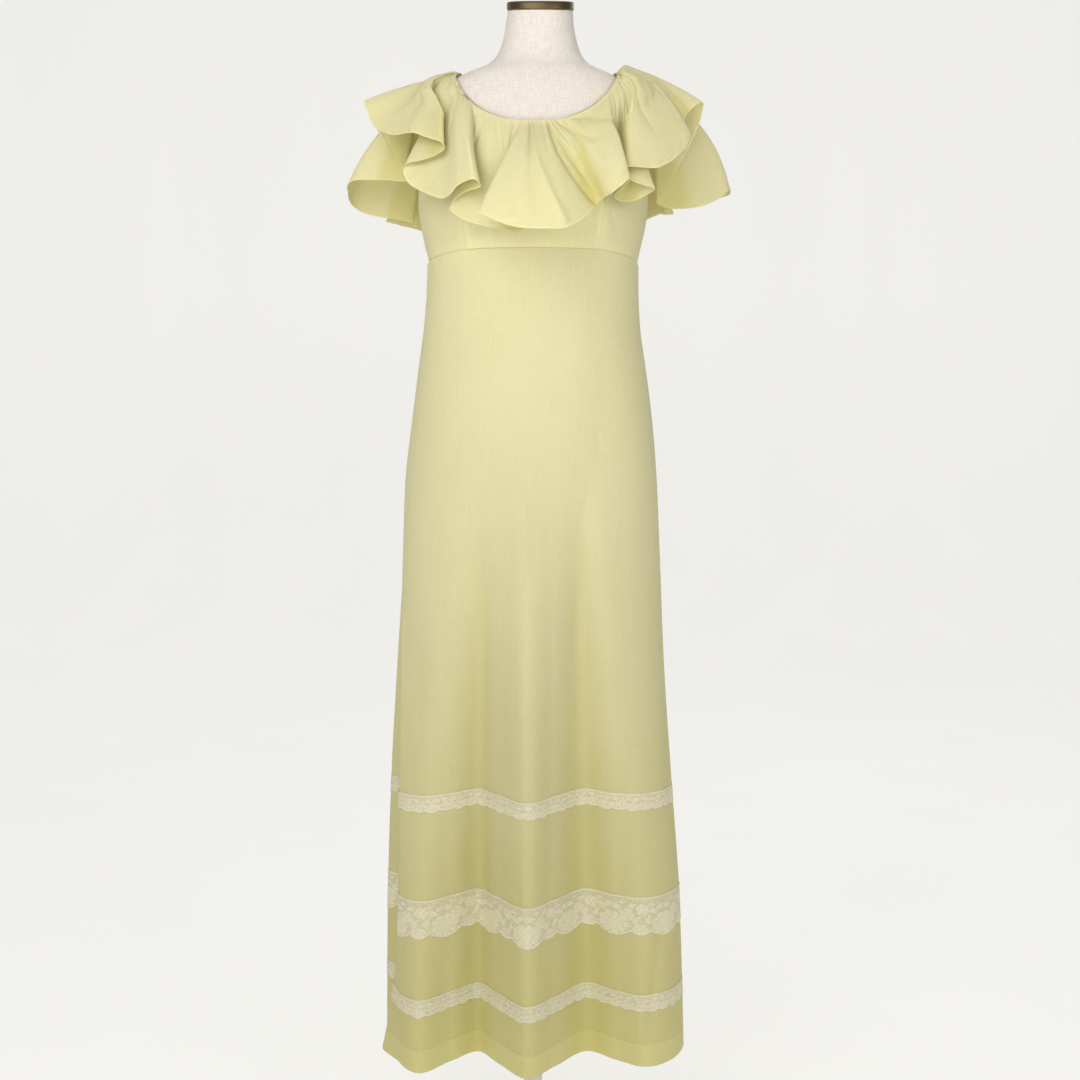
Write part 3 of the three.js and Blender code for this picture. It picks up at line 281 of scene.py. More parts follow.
def skirt_point(at, climb):
    z = mix(HEM_Z + f_rise(at), empire_z(at) - SEAM_GAP, climb)
    across, forward = skirt_section(at, z)
    hem_across, hem_forward = skirt_section(at, HEM_Z)
    t = np.clip((f_start(at) - z) / (f_start(at) - HEM_Z), 0, 1)
    gentle = np.where(t < 0.2, t * t / 0.4, t - 0.1) / 0.9
    deep = 1 - (1 - gentle) ** f_haste(at)
    # Near the hem the front's left corner stands out over the fold behind it.
    off = (at - HEM_CORNER["at"] + 180) % 360 - 180
    near = np.cos(np.clip(off / HEM_CORNER["reach"], -1, 1) * math.pi / 2) ** 2
    low = np.clip((HEM_CORNER["start"] - z) / (HEM_CORNER["start"] - HEM_Z), 0, 1)
    corner = HEM_CORNER["out"] * near * low**2
    x = across + deep * (f_across(at) - hem_across) - corner
    return stack(x, -(forward + deep * (f_forward(at) - hem_forward)), z)


def troughs(points, table, side=1.0, share=1.0):
    """How deep the creases of a table are at points: each runs from x0, z0 to x1, z1 with a width and a depth."""
    x, z = points[..., 0] / side, points[..., 2]
    depth = 0 * x
    for x0, z0, x1, z1, width, deep in table:
        along = (x - x0) * (x1 - x0) + (z - z0) * (z1 - z0)
        t = np.clip(along / ((x1 - x0) ** 2 + (z1 - z0) ** 2), 0, 1)
        away = np.hypot(x - mix(x0, x1, t), (z - mix(z0, z1, t)) * 0.35)
        depth = depth + share * deep * dip(away, width) * np.sin(math.pi * np.clip(t * 0.8 + 0.1, 0, 1)) ** 0.5
    return depth


def on_skirt(a, b, distance):
    return raised(skirt_point, a, b, distance, 0.2, 0.001, lambda z: 0 * z)


# The ruffle's table is read by place, so that its rows are spread by how far apart their edges lie.
LAST = len(RUFFLE) - 1
edge = {name: loop(RUFFLE, k, np.arange(LAST + 1))
        for k, name in enumerate(("across", "forward", "drop", "bow", "lift"), 1)}
neck_at = column([(i, r[0]) for i, r in enumerate(RUFFLE)], 1)


def edge_point(place):
    return stack(edge["across"](place), -edge["forward"](place), SHOULDER_Z - edge["drop"](place))


def clear_of_body(p, distance):
    z = np.clip(p[..., 2], 1000, 1560)
    x = p[..., 0] - b_centre(z)
    side = lambda h: np.where(x < 0, b_left(h), b_right(h))
    face = lambda h: np.where(p[..., 1] < 0, b_front(h), b_back(h))
    slope = np.maximum(np.abs(side(z + 2) - side(z - 2)), np.abs(face(z + 2) - face(z - 2))) / 4
    away = distance * np.minimum(np.hypot(1, slope), 2.5)
    s = np.abs(x) / (side(z) + away)
    c = np.abs(p[..., 1]) / (face(z) + away + np.where(p[..., 1] < 0, BUST_RISE, 0))
    reach = np.minimum((s ** (2 / SQUARE) + c ** (2 / SQUARE)) ** (SQUARE / 2), 1)
    out = p.copy()
    out[..., 0] = b_centre(z) + x / reach
    out[..., 1] = p[..., 1] / reach
    return out


def ruffle_point(place, rise):
    place, rise = np.broadcast_arrays(np.asarray(place, float) % LAST, rise)
    at, v = neck_at(place), np.maximum(1 - rise, 0)
    neck = on_body(at, neck_z(at), np.full(at.shape, FORM_GAP + WALL))
    stand = RUFFLE_STAND["front"] + (np.where(at < 0, RUFFLE_STAND["left"], RUFFLE_STAND["right"])
                                     - RUFFLE_STAND["front"]) * np.sin(rad(at)) ** 4
    neck[..., 2] += SEAM_GAP + stand * smooth(v * 8)
    weights = [EASE + 1 - abs(k) for k in range(-EASE, EASE + 1)]
    eased = sum(w * edge_point(place + k) for k, w in zip(range(-EASE, EASE + 1), weights)) / sum(weights)
    ray = eased - neck
    level = np.hypot(ray[..., 0], ray[..., 1])
    bend = unit(stack(-ray[..., 2] * ray[..., 0] / level, -ray[..., 2] * ray[..., 1] / level, level))
    p = neck + ray * v[..., None] + (edge_point(place) - eased) * (v**OPENING)[..., None]
    p = p + bend * (edge["bow"](place) * 4 * v * (1 - v))[..., None]
    clear = FORM_GAP + WALL + 0.6 + RUFFLE_CLEAR * smooth(v * 4) + edge["lift"](place) * smooth(v * 2)
    return np.where((v > 0)[..., None], clear_of_body(p, clear), p)


def on_ruffle(a, b, distance):
    return raised(ruffle_point, a, b, distance, 0.02, 0.005, lambda z: 1 + 0 * z)


# --- meshes
def make_mesh(name, points, faces, uv, marks=None):
    """Points in mm, faces of four corners; uv in metres, per point or per corner; marks per point."""
    faces = np.asarray(faces, np.int32)
    mesh = bpy.data.meshes.new(name)
    mesh.vertices.add(len(points))
    mesh.vertices.foreach_set("co", (np.asarray(points) * MM).astype(np.float32).ravel())
    mesh.loops.add(faces.size)
    mesh.loops.foreach_set("vertex_index", faces.ravel())
    mesh.polygons.add(len(faces))
    mesh.polygons.foreach_set("loop_start", np.arange(0, faces.size, 4, dtype=np.int32))
    mesh.update(calc_edges=True)
    corners = np.asarray(uv) if np.ndim(uv) == 3 else np.asarray(uv)[faces.ravel()]
    mesh.uv_layers.new(name="UVMap").data.foreach_set("uv", corners.astype(np.float32).ravel())
    for key, values in (marks or {}).items():
        mark = mesh.attributes.new(key, "FLOAT", "POINT")
        mark.data.foreach_set("value", np.asarray(values, np.float32).ravel())
    mesh.polygons.foreach_set("use_smooth", np.full(len(faces), True))
    mesh.validate()
    obj = bpy.data.objects.new(name, mesh)
    bpy.context.scene.collection.objects.link(obj)
    return obj


def quads(rows, cols, wrap=False, first=0, flip=False):
    i, j = np.meshgrid(np.arange(rows - 1), np.arange(cols if wrap else cols - 1), indexing="ij")
    k = (j + 1) % cols
    q = np.stack([i * cols + j, i * cols + k, (i + 1) * cols + k, (i + 1) * cols + j], -1).reshape(-1, 4) + first
    return q[:, ::-1] if flip else q


def shell(name, outer, inner, uv, marks, node):
    """A thin wall of cotton between two grids of points, bottom row first and left column first."""
    rows, cols = outer.shape[:2]
    n = rows * cols
    top, left, right = (rows - 1) * cols, np.arange(rows) * cols, np.arange(rows) * cols + cols - 1
    low, high = np.arange(cols), top + np.arange(cols)
    ring = np.concatenate([low, right[1:], high[::-1][1:], left[::-1][1:]])
    rim = np.stack([ring[1:], ring[:-1], ring[:-1] + n, ring[1:] + n], -1)
    faces = np.concatenate([quads(rows, cols), quads(rows, cols, first=n, flip=True), rim])
    both = lambda a: np.concatenate([a.reshape(n, -1)] * 2)
    obj = make_mesh(name, np.concatenate([outer.reshape(n, 3), inner.reshape(n, 3)]), faces, both(uv),
                    {k: both(v) for k, v in marks.items()})
    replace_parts(dress(obj, COTTON), node)
    return obj


def dress(obj, material):
    obj.data.materials.append(material)
    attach(obj, "root")
    return obj


def run(points, axis):
    """Length along a grid's rows or columns up to each point."""
    gaps = np.linalg.norm(np.diff(points, axis=axis), axis=-1)
    pad = [(0, 0), (0, 0)]
    pad[axis] = (1, 0)
    return np.cumsum(np.pad(gaps, pad), axis=axis)


def edges_away(points):
    """How far each point is from the left, right, bottom and top edge, in mm."""
    across, up = run(points, 1), run(points, 0)
    return across, across[:, -1:] - across, up, up[-1:, :] - up


def fine_steps(a, b, count, near=(0.12, 0.3, 0.6)):
    """Even steps with a few closer ones at both ends."""
    base = np.linspace(0, count, count + 1)
    extra = np.array(near)
    s = np.unique(np.concatenate([base, extra, count - extra]))
    return mix(a, b, s / count)


def dip(d, width):
    return np.exp(-((d / width) ** 2))


# --- materials
def srgb(r, g, b):
    f = lambda c: c / 12.92 if c <= 0.04045 else ((c + 0.055) / 1.055) ** 2.4
    return (*(f(c / 255) for c in (r, g, b)), 1)


class Look:
    """A material whose nodes are added one at a time; a value may be another node's output."""

    def __init__(self, name):
        self.material = bpy.data.materials.new(name)
        self.material.use_nodes = True
        self.tree = self.material.node_tree
        self.tree.nodes.clear()

    def add(self, kind, values=None, out=0, **props):
        node = self.tree.nodes.new(kind)
        for key, value in props.items():
            setattr(node, key, value)
        for key, value in (values or {}).items():
            if isinstance(value, bpy.types.NodeSocket):
                self.tree.links.new(value, node.inputs[key])
            else:
                node.inputs[key].default_value = value
        return node.outputs[out] if node.outputs else node

    def maths(self, operation, a, b=0.0):
        return self.add("ShaderNodeMath", {0: a, 1: b}, operation=operation)

    def plus(self, a, b):
        return self.maths("ADD", a, b)

    def times(self, a, b):
        return self.maths("MULTIPLY", a, b)

    def mark(self, name):
        return self.add("ShaderNodeAttribute", out="Fac", attribute_name=name)

    def scaled(self, x, y):
        return self.add("ShaderNodeMapping", {"Vector": self.uv, "Scale": (x, y, 1)})

    def noise(self, x, y, detail=2.0):
        return self.add("ShaderNodeTexNoise", {"Vector": self.scaled(x, y), "Scale": 1.0, "Detail": detail})

    def blend(self, factor, a, b):
        return self.add("ShaderNodeMix", {0: factor, 6: a, 7: b}, out=2, data_type="RGBA")

    def ramp(self, value, low, high):
        return self.add("ShaderNodeMapRange", {"Value": value, "From Min": low, "From Max": high})

    def bump(self, height, strength, distance, normal=None):
        values = {"Height": height, "Strength": strength, "Distance": distance}
        if normal is not None:
            values["Normal"] = normal
        return self.add("ShaderNodeBump", values)

    def finish(self, shader):
        self.add("ShaderNodeOutputMaterial", {"Surface": shader})
        return self.material

    def coords(self):
        self.uv = self.add("ShaderNodeTexCoord", out="UV")
        parts = self.tree.nodes.new("ShaderNodeSeparateXYZ")
        self.tree.links.new(self.uv, parts.inputs[0])
        self.u, self.v = parts.outputs[0], parts.outputs[1]

    def waves(self, period_u, period_v):
        """Threads both ways: two waves from -1 to 1, with the periods in metres."""
        return [self.maths("SINE", self.times(c, 2 * math.pi / p))
                for c, p in ((self.u, period_u), (self.v, period_v))]


def cotton(name, tint, glow, through):
    """Fine yellow cotton with a small woven dot. Light comes through it, and on top of that the folds, creases and
    the skirt's lower part are painted a deeper yellow as painted shade, from the mark deep.
    """
    look = Look(name)
    look.coords()
    warp, weft = look.waves(0.0026, 0.0026)
    dot = look.ramp(look.times(warp, weft), 0.35, 0.95)
    slub = look.plus(look.noise(900, 45, 3), look.noise(45, 900, 3))
    cloud = look.noise(9, 7, 3)
    streak = look.ramp(look.noise(330, 9, 3), 0.42, 0.62)
    shade = (tint[0] * 0.9, tint[1] * 0.9, tint[2] * 0.82, 1)
    pale = (min(tint[0] * 1.03, 1), min(tint[1] * 1.03, 1), min(tint[2] * 1.06, 1), 1)
    colour = look.blend(look.ramp(slub, 0.72, 1.3), shade, tint)
    colour = look.blend(look.times(streak, 0.4), colour, shade)
    colour = look.blend(look.times(dot, 0.4), colour, pale)
    colour = look.blend(look.times(look.ramp(cloud, 0.35, 0.7), 0.3), colour, pale)
    # painted shade: the mark deep blends the colour toward the darker glow yellow in sunken folds, creases and
    # toward the hem
    colour = look.blend(look.times(look.mark("deep"), 0.6), colour, glow)
    colour = look.blend(look.times(look.mark("double"), 0.1), colour, glow)
    threads = look.times(look.plus(*look.waves(0.0008, 0.0008)), 0.25)
    height = look.plus(look.plus(dot, threads), look.times(slub, 1.3))
    fine = look.bump(height, 0.2, 0.0004)
    crumple = look.bump(look.noise(34, 22, 4), 0.2, 0.004, fine)
    face = look.add("ShaderNodeBsdfPrincipled", {
        "Base Color": colour, "Roughness": 0.82, "Normal": crumple, "Sheen Weight": 0.2, "Sheen Roughness": 0.45,
        "Specular IOR Level": 0.22})
    back = look.add("ShaderNodeBsdfTranslucent", {"Color": look.blend(0.6, colour, glow), "Normal": crumple})
    share = look.maths("SUBTRACT", through, look.times(look.mark("double"), through * 0.25))
    return look.finish(look.add("ShaderNodeMixShader", {0: share, 1: face, 2: back}))


def lace_look():
    """Cream cotton lace: open net, with motifs whose threads are close and stand up."""
    look = Look("lace_cream")
    look.coords()
    cells = look.add("ShaderNodeTexVoronoi", {"Vector": look.scaled(560, 560), "Scale": 1.0, "Randomness": 0.5},
                     feature="DISTANCE_TO_EDGE", out="Distance")
    net = look.ramp(cells, 0.34, 0.14)
    dense = look.mark("dense")
    bent = look.plus(look.v, look.times(look.noise(48, 70, 2), 0.012))
    satin = look.maths("SINE", look.times(bent, 2 * math.pi / 0.0021))
    grain = look.plus(look.noise(700, 260, 2), look.times(satin, 0.16))
    solid = look.ramp(look.plus(dense, look.times(grain, 0.55)), 0.45, 0.95)
    cover = look.maths("MAXIMUM", look.plus(look.times(net, 0.4), 0.52), look.times(solid, 0.98))
    colour = look.blend(look.ramp(look.plus(grain, look.times(solid, 0.3)), 0.3, 1.0),
                        srgb(208, 202, 164), srgb(224, 218, 190))
    height = look.plus(look.times(solid, 0.8), look.times(grain, 0.7))
    return look.finish(look.add("ShaderNodeBsdfPrincipled", {
        "Base Color": colour, "Roughness": 0.8, "Alpha": cover, "Normal": look.bump(height, 0.3, 0.0005),
        "Sheen Weight": 0.15, "Sheen Roughness": 0.5, "Specular IOR Level": 0.25}))


def linen_look():
    """Unbleached linen: uneven threads both ways, a few dark flecks."""
    look = Look("linen_cream")
    look.coords()
    warp, weft = look.waves(0.0013, 0.0014)
    slub = look.plus(look.noise(760, 60, 3), look.noise(60, 760, 3))
    cloth = look.blend(look.ramp(slub, 0.7, 1.25), srgb(198, 190, 181), srgb(217, 211, 203))
    fleck = look.ramp(look.noise(260, 190, 2), 0.70, 0.76)
    colour = look.blend(look.times(fleck, 0.16), cloth, srgb(196, 182, 164))
    height = look.plus(look.times(look.plus(warp, weft), 0.3), slub)
    return look.finish(look.add("ShaderNodeBsdfPrincipled", {
        "Base Color": colour, "Roughness": 0.9, "Normal": look.bump(height, 0.22, 0.0005),
        "Sheen Weight": 0.1, "Sheen Roughness": 0.5, "Specular IOR Level": 0.2}))


def metal_look(name, light, dark, rough, metallic, grain_scale, wear):
    look = Look(name)
    look.coords()
    grain = look.noise(*grain_scale, 4)
    patches = look.noise(22, 14, 3)
    colour = look.blend(look.ramp(look.plus(grain, look.times(patches, wear)), 0.45, 1.0), dark, light)
    return look.finish(look.add("ShaderNodeBsdfPrincipled", {
        "Base Color": colour, "Metallic": metallic, "Roughness": look.add("ShaderNodeMapRange", {
            "Value": grain, "From Min": 0.3, "From Max": 0.7, "To Min": rough - 0.08, "To Max": rough + 0.1}),
        "Normal": look.bump(grain, 0.12, 0.0003)}))


def thread_look():
    look = Look("sewing_thread")
    look.coords()
    twist = look.waves(0.0009, 0.0009)[0]
    colour = look.blend(look.ramp(twist, -1, 1), srgb(205, 193, 126), srgb(230, 221, 168))
    return look.finish(look.add("ShaderNodeBsdfPrincipled", {
        "Base Color": colour, "Roughness": 0.6, "Normal": look.bump(twist, 0.4, 0.0002),
        "Specular IOR Level": 0.3}))


# the second colour is the yellow of light through the cloth, and also the colour of the painted shade in folds
COTTON = cotton("cotton_yellow", srgb(242, 237, 195), srgb(214, 204, 92), 0.38)
LACE_CREAM = lace_look()
LINEN = linen_look()
BRASS = metal_look("brass_aged", srgb(104, 90, 67), srgb(72, 60, 42), 0.42, 1.0, (40, 900), 0.9)
PAINT = metal_look("paint_pale", srgb(240, 239, 235), srgb(226, 224, 218), 0.6, 0.0, (380, 380), 0.3)
THREAD = thread_look()


# --- camera, light and stage
scene = bpy.context.scene
camera = bpy.data.objects.new("camera", bpy.data.cameras.new("camera"))
scene.collection.objects.link(camera)
camera.location, camera.rotation_euler = (0.0098, -2.1, 1.0245), (rad(85.8), 0, 0)
camera.data.lens, camera.data.sensor_width = 50, 36
scene.camera = camera
scene.view_settings.view_transform = "Standard"


def lamp(name, place, aim, size, power_w, colour, spread=180):
    data = bpy.data.lights.new(name, "AREA")
    data.shape, data.size, data.energy, data.color = "DISK", size, power_w, colour
    data.spread = rad(spread)
    obj = bpy.data.objects.new(name, data)
    obj.location = place
    direction = np.array(place) - np.array(aim)
    obj.rotation_euler = (math.acos(direction[2] / np.linalg.norm(direction)), 0,
                          math.atan2(direction[1], direction[0]) + math.pi / 2)
    scene.collection.objects.link(obj)


lamp("key", (-0.85, -1.9, 2.25), (0, 0, 1.4), 2.3, 37, (1, 0.99, 0.965))
lamp("low", (-0.3, -2.0, 0.6), (0, 0, 1.55), 1.0, 1.6, (1, 0.99, 0.965), 50)
lamp("fill", (1.9, -2.1, 1.6), (0, 0, 0.9), 1.8, 20, (1, 0.99, 0.98))
lamp("top", (0.2, 0.3, 3.6), (0, 0, 1), 1.8, 9, (1, 1, 1))
lamp("rear", (1.2, 2.6, 2.4), (0, 0, 1), 1.6, 12, (1, 1, 1))

world = bpy.data.worlds.new("room")
world.use_nodes = True
world.node_tree.nodes["Background"].inputs[0].default_value = srgb(241, 240, 236)
world.node_tree.nodes["Background"].inputs[1].default_value = 0.37
scene.world = world

sweep = [(-3400 + 340 * i, 0) for i in range(21)]
sweep += [(3400 + 1700 * math.sin(rad(a)), 1700 - 1700 * math.cos(rad(a))) for a in range(6, 91, 6)]
sweep += [(5100, 1700 + 500 * i) for i in range(1, 8)]
wide = np.linspace(-6500, 6500, 27)
floor_points = np.array([[x, y, z] for y, z in sweep for x in wide])
backdrop = make_mesh("backdrop", floor_points, quads(len(sweep), len(wide)), uv=floor_points[:, :2] * MM)
paper = Look("paper_pale")
paper.coords()
paper_colour = paper.blend(paper.noise(3, 3, 2), srgb(239, 238, 234), srgb(242, 241, 237))
matte = paper.add("ShaderNodeBsdfDiffuse", {"Color": (0.22, 0.22, 0.215, 1)})
glow = paper.add("ShaderNodeEmission", {"Color": paper_colour, "Strength": 0.842})
backdrop.data.materials.append(paper.finish(paper.add("ShaderNodeAddShader", {0: matte, 1: glow})))


# --- the form
def turned(name, rings, material, node):
    """Closed rings, bottom to top, with a small disc at each end."""
    rings = np.array(rings)
    rows, cols = rings.shape[:2]
    caps = [np.repeat(r.mean(0, keepdims=True), cols, 0) for r in (rings[0], rings[-1])]
    grid = np.concatenate([[mix(caps[0], rings[0], 0.01)], rings, [mix(caps[1], rings[-1], 0.01)]])
    closed = np.concatenate([grid, grid[:, :1]], 1)
    u = run(closed, 1)
    uv = np.stack([u - u[:, [cols // 2]], run(closed, 0)[:, [cols // 2]] + 0 * u], -1) * MM
    corners = np.stack([uv[:-1, :-1], uv[:-1, 1:], uv[1:, 1:], uv[1:, :-1]], 2).reshape(-1, 4, 2)
    i = np.arange(cols // 2 - 1)
    disc = np.stack([i, i + 1, cols - 2 - i, cols - 1 - i], 1)
    faces = np.concatenate([quads(rows + 2, cols, wrap=True), disc[:, ::-1], disc + (rows + 1) * cols])
    corners = np.concatenate([corners, np.zeros((2 * len(disc), 4, 2))])
    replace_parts(dress(make_mesh(name, grid.reshape(-1, 3), faces, corners), material), node)


AROUND = np.arange(-180, 180, 2.5)
levels = np.concatenate([[900, 900.6, 902, 905], np.arange(912, 1592, 6.5), [1592, 1595, 1596.6]])
at, z = np.meshgrid(AROUND, levels)
form = body_point(at, z)
level_out = unit(stack(form[..., 0] - b_centre(z), form[..., 1], 0 * z))
folded = (at + 180) % 360 - 180
seams = -0.35 * (dip(folded, 1.3) + dip(np.abs(folded) - 40, 1.3) * (z < 1500) + dip(180 - np.abs(folded), 1.3))
seams += -0.55 * dip(z - 1524 - 4 * np.cos(rad(folded)), 2.0) - 0.6 * (levels[:, None] < 904) * 2
turned("form_linen_cover", form + level_out * seams[..., None], LINEN, "form_torso")

CAP_FOOT = 1597.0
cap_levels = [(1597, -2), (1597.1, 0.8), (1597.8, 1.5), (1599, 1.6), (1605.2, 1.6), (1606.8, 1.2), (1607.7, 0.2),
              (1608, -1.2), (1608, -12), (1607.6, -16)]
cap_rings = []
for z, out in cap_levels:
    ring = body_point(AROUND, np.full(len(AROUND), CAP_FOOT), out)
    ring[:, 2] += z - CAP_FOOT
    cap_rings.append(ring)
turned("form_cap_band", cap_rings, BRASS, "form_neck_cap")


def lathe(name, profile, node):
    rings = [stack(r * np.sin(rad(AROUND)), -r * np.cos(rad(AROUND)), z + 0 * AROUND) for r, z in profile]
    turned(name, rings, PAINT, node)


lathe("stand_pole", [(12, 48.3), (13, 49.3), (13, 120), (13, 300), (13, 600), (13, 898), (12.4, 899.7)],
      "form_pole")
lathe("stand_base", [(147, 0), (149, 0.6), (150, 2), (150, 10.5), (149.4, 12.4), (147.5, 13.6), (140, 14),
                     (90, 14.6), (40, 15.6), (31, 17), (28, 20), (27, 24), (27, 45), (26.4, 47), (24.8, 48),
                     (14, 48)], "form_base")


# --- sewing
def stitches(name, line, outward, length, gap, thick):
    """Short raised stitches along a line of points."""
    steps = np.concatenate([[0], np.cumsum(np.linalg.norm(np.diff(line, axis=0), axis=1))])
    starts = np.arange(gap, steps[-1] - length, length + gap)
    read = lambda a, s: np.stack([np.interp(s, steps, a[:, k]) for k in range(3)], -1)
    a, b, n = read(line, starts), read(line, starts + length), unit(read(outward, starts + length / 2))
    side = unit(np.cross(n, b - a)) * thick * 0.5
    lift = n * thick
    rings = []
    for t, rise in ((0, -0.2), (0.18, 0.75), (0.5, 1.0), (0.82, 0.75), (1, -0.2)):
        c = mix(a, b, t)
        top = c + lift * rise
        rings.append(np.stack([c - side, top - side * 0.6, top + side * 0.6, c + side], 1))
    points = np.stack(rings, 1)
    n_each = points.shape[1] * 4
    base = np.concatenate([quads(5, 4, wrap=True), [[0, 3, 2, 1], [16, 17, 18, 19]]])
    faces = (base[None] + (np.arange(len(starts)) * n_each)[:, None, None]).reshape(-1, 4)[:, ::-1]
    uv = np.stack([np.repeat(np.linspace(0, length, 5), 4), np.tile([0, 1, 2, 3], 5)], -1) * MM
    uv = np.tile(uv, (len(starts), 1))
    return dress(make_mesh(name, points.reshape(-1, 3), faces, uv), THREAD)


# --- bodice
# Small wrinkles of the front above the empire seam, in the form of CREASES below.
WRINKLES = [
    (-58, 1302, -60, 1266, 3, 0.55), (-40, 1292, -45, 1266, 3.4, 0.6), (-18, 1298, -13, 1268, 3.6, 0.55),
    (8, 1290, 3, 1266, 3, 0.55), (26, 1302, 33, 1268, 3.2, 0.65), (44, 1314, 35, 1286, 3.6, 0.6),
    (56, 1302, 76, 1296, 3.4, 0.5), (-74, 1314, -67, 1282, 3.8, 0.5), (64, 1286, 60, 1266, 3, 0.55),
    (-30, 1277, 10, 1279, 3.2, 0.4), (30, 1275, 68, 1278, 3.2, 0.45), (88, 1320, 84, 1278, 5, 0.5),
    (-96, 1300, -90, 1268, 4, 0.5), (104, 1310, 112, 1286, 5, 0.5),
]


def centre_edge(level, seam_at, neck_from):
    t = np.minimum(level / CORNER, 1)
    u = np.maximum((level - CORNER) / (1 - CORNER), 0)
    at = np.where(level <= CORNER, mix(seam_at, neck_from, t), mix(neck_from, 90, smooth(u) * 0.5 + u * 0.5))
    return at, np.where(level <= CORNER, mix(empire_z(seam_at), neck_z(neck_from), t), neck_z(at))


def side_panel(side, outer, seam_at, cols, levels):
    outer_at, outer_z = column(outer, 1), column(outer, 2)
    level, u = np.meshgrid(levels, fine_steps(0, 1, cols), indexing="ij")
    centre_at, centre_z = centre_edge(level, seam_at, seam_at)
    gap = SEAM_ANGLE + SHOULDER_ANGLE * smooth((level - 0.9) / 0.1)
    low, high = (90 + gap, 180 - SEAM_ANGLE) if seam_at > 90 else (seam_at + SEAM_ANGLE, 90 - gap)
    at = np.clip(mix(centre_at, outer_at(level), u), low, high)
    bend = empire_z(at) - mix(empire_z(seam_at), empire_z(90), u)
    z = mix(centre_z, outer_z(level), u) + bend * (1 - smooth(level / UNDERARM))
    if (side > 0) != (seam_at < 90):
        at, z = at[:, ::-1], z[:, ::-1]
    return side * at, z


def bodice_panel(node, at, z, flat, area, darts=()):
    plain = on_body(at, z, np.full(at.shape, FORM_GAP + 0.6))
    left, right, low, high = edges_away(plain)
    x = plain[..., 0]
    seam = np.minimum(left, right)
    pucker = 0.55 * wander2(x + 300, z, 9, 34, 7) * dip(low, 16)
    pucker = pucker + 0.4 * wander2(x + 300, z, 30, 11, 9) * dip(seam, 12)
    soft = 0.35 * wander2(x + 300, z, 46, 60, 11)
    pressed = 0.42 * (dip(left, 1.5) + dip(right, 1.5)) + 0.08 * dip(low, 1.3)
    for dart_x, dart_top in darts:
        pressed = pressed + 0.8 * dip(x - dart_x - 0.05 * (z - BODICE_FOOT), 1.3) * smooth((dart_top - z) / 6)
    facing = (plain[..., 1] < 0) * 1.0
    wrinkled = troughs(plain, WRINKLES) * facing + troughs(plain, WRINKLES, -1.1, 0.8) * (1 - facing)
    shape = np.clip(0.1 + pucker + soft, -0.35, 0.55) + 0.35 + 0.25 * dip(low - 26, 22) - 2.3 * wrinkled - pressed
    centre = node == "bodice_front_centre"
    outer = on_body(at, z - 0.1 * dip(low, 2) * centre, FORM_GAP + OUTSIDE + np.maximum(shape, -0.35))
    inner = on_body(at, z, np.full(at.shape, FORM_GAP + INSIDE))
    uv = np.stack([left - left[:, [left.shape[1] // 2]], low], -1) * MM
    marks = {"double": np.maximum(dip(seam - 4, 5), dip(low - 4, 5)) + 0.8 * centre, "deep": 0 * x}
    obj = shell("sewn_" + node, outer, inner, uv, marks, node)


levels = fine_steps(0, 1, 110)
to_seam = PRINCESS - SEAM_ANGLE
t, at = np.meshgrid(fine_steps(0, 1, 96), fine_steps(-to_seam, to_seam, 110), indexing="ij")
bodice_panel("bodice_front_centre", at, mix(empire_z(at), neck_z(at), t), (0.2, 0.22), 0.038,
             darts=((-60, 1290), (47, 1292)))
for half, table, seam, cols, flat, area in (("front", SIDE_FRONT_OUTER, PRINCESS, 60, (0.16, 0.26), 0.024),
                                            ("back", BACK_OUTER, 180, 90, (0.22, 0.28), 0.049)):
    for hand, side in (("left", -1), ("right", 1)):
        bodice_panel(f"bodice_{half}_{hand}", *side_panel(side, table, seam, cols, levels), flat, area)


# --- skirt
# Soft creases on the front: across and height of each end, how wide and how deep the trough is.
CREASES = [
    (36, 1150, 14, 1010, 16, 1.6), (14, 1010, 12, 860, 20, 1.3), (86, 1000, 62, 880, 8, 1.5),
    (96, 1110, 88, 960, 14, 1.1), (176, 345, 164, 250, 9, 3.0), (164, 250, 155, 165, 8, 3.2),
    (-128, 300, -120, 180, 12, 1.6), (-150, 1150, -168, 900, 22, 1.0), (60, 1180, 66, 1060, 24, -0.7),
    (-96, 1230, -120, 1120, 14, 0.8), (108, 1235, 124, 1150, 12, 0.9), (-30, 700, -46, 560, 16, 0.8),
    (20, 560, 30, 420, 14, 0.7),
]

# Rows of lace: share of the skirt's height at the top edge, and depth.
LACE_ROWS = ((0.34, 25), (0.2115, 57), (0.09, 25))


def skirt_skin(at, climb):
    """How far the outside of the skirt lies from its surface, in mm."""
    base = skirt_point(at, climb)
    facing = smooth((-base[..., 1] * np.where(np.abs(at) < 90, 1, -1)) / 40 + 0.5)
    up = climb * SKIRT_DROP
    soft = 0.5 * wander2(at + 400, up, 9, 190, 21) + 0.3 * wander2(at + 400, up, 4, 60, 23) * smooth(climb * 3)
    near_lace = sum(dip(up - top * SKIRT_DROP - 2, 12) + 0.7 * dip(up - top * SKIRT_DROP + depth, 9)
                    for top, depth in LACE_ROWS)
    pucker = 0.3 * wander2(at + 400, up, 1.6, 30, 25) * dip(SKIRT_DROP - up, 22)
    pucker = pucker + 0.4 * wander2(at + 400, up, 1.7, 40, 27) * near_lace
    trough = np.where(np.abs(at) < 90, troughs(base, CREASES), troughs(base, CREASES, -0.8, 0.9)) * facing
    least = mix(-2.2, -0.2, smooth((up - 780) / 140))
    return np.maximum(0.75 + 0.35 * np.clip(soft, -1, 1) + pucker - np.maximum(trough, -0.4) * 0.8, least)


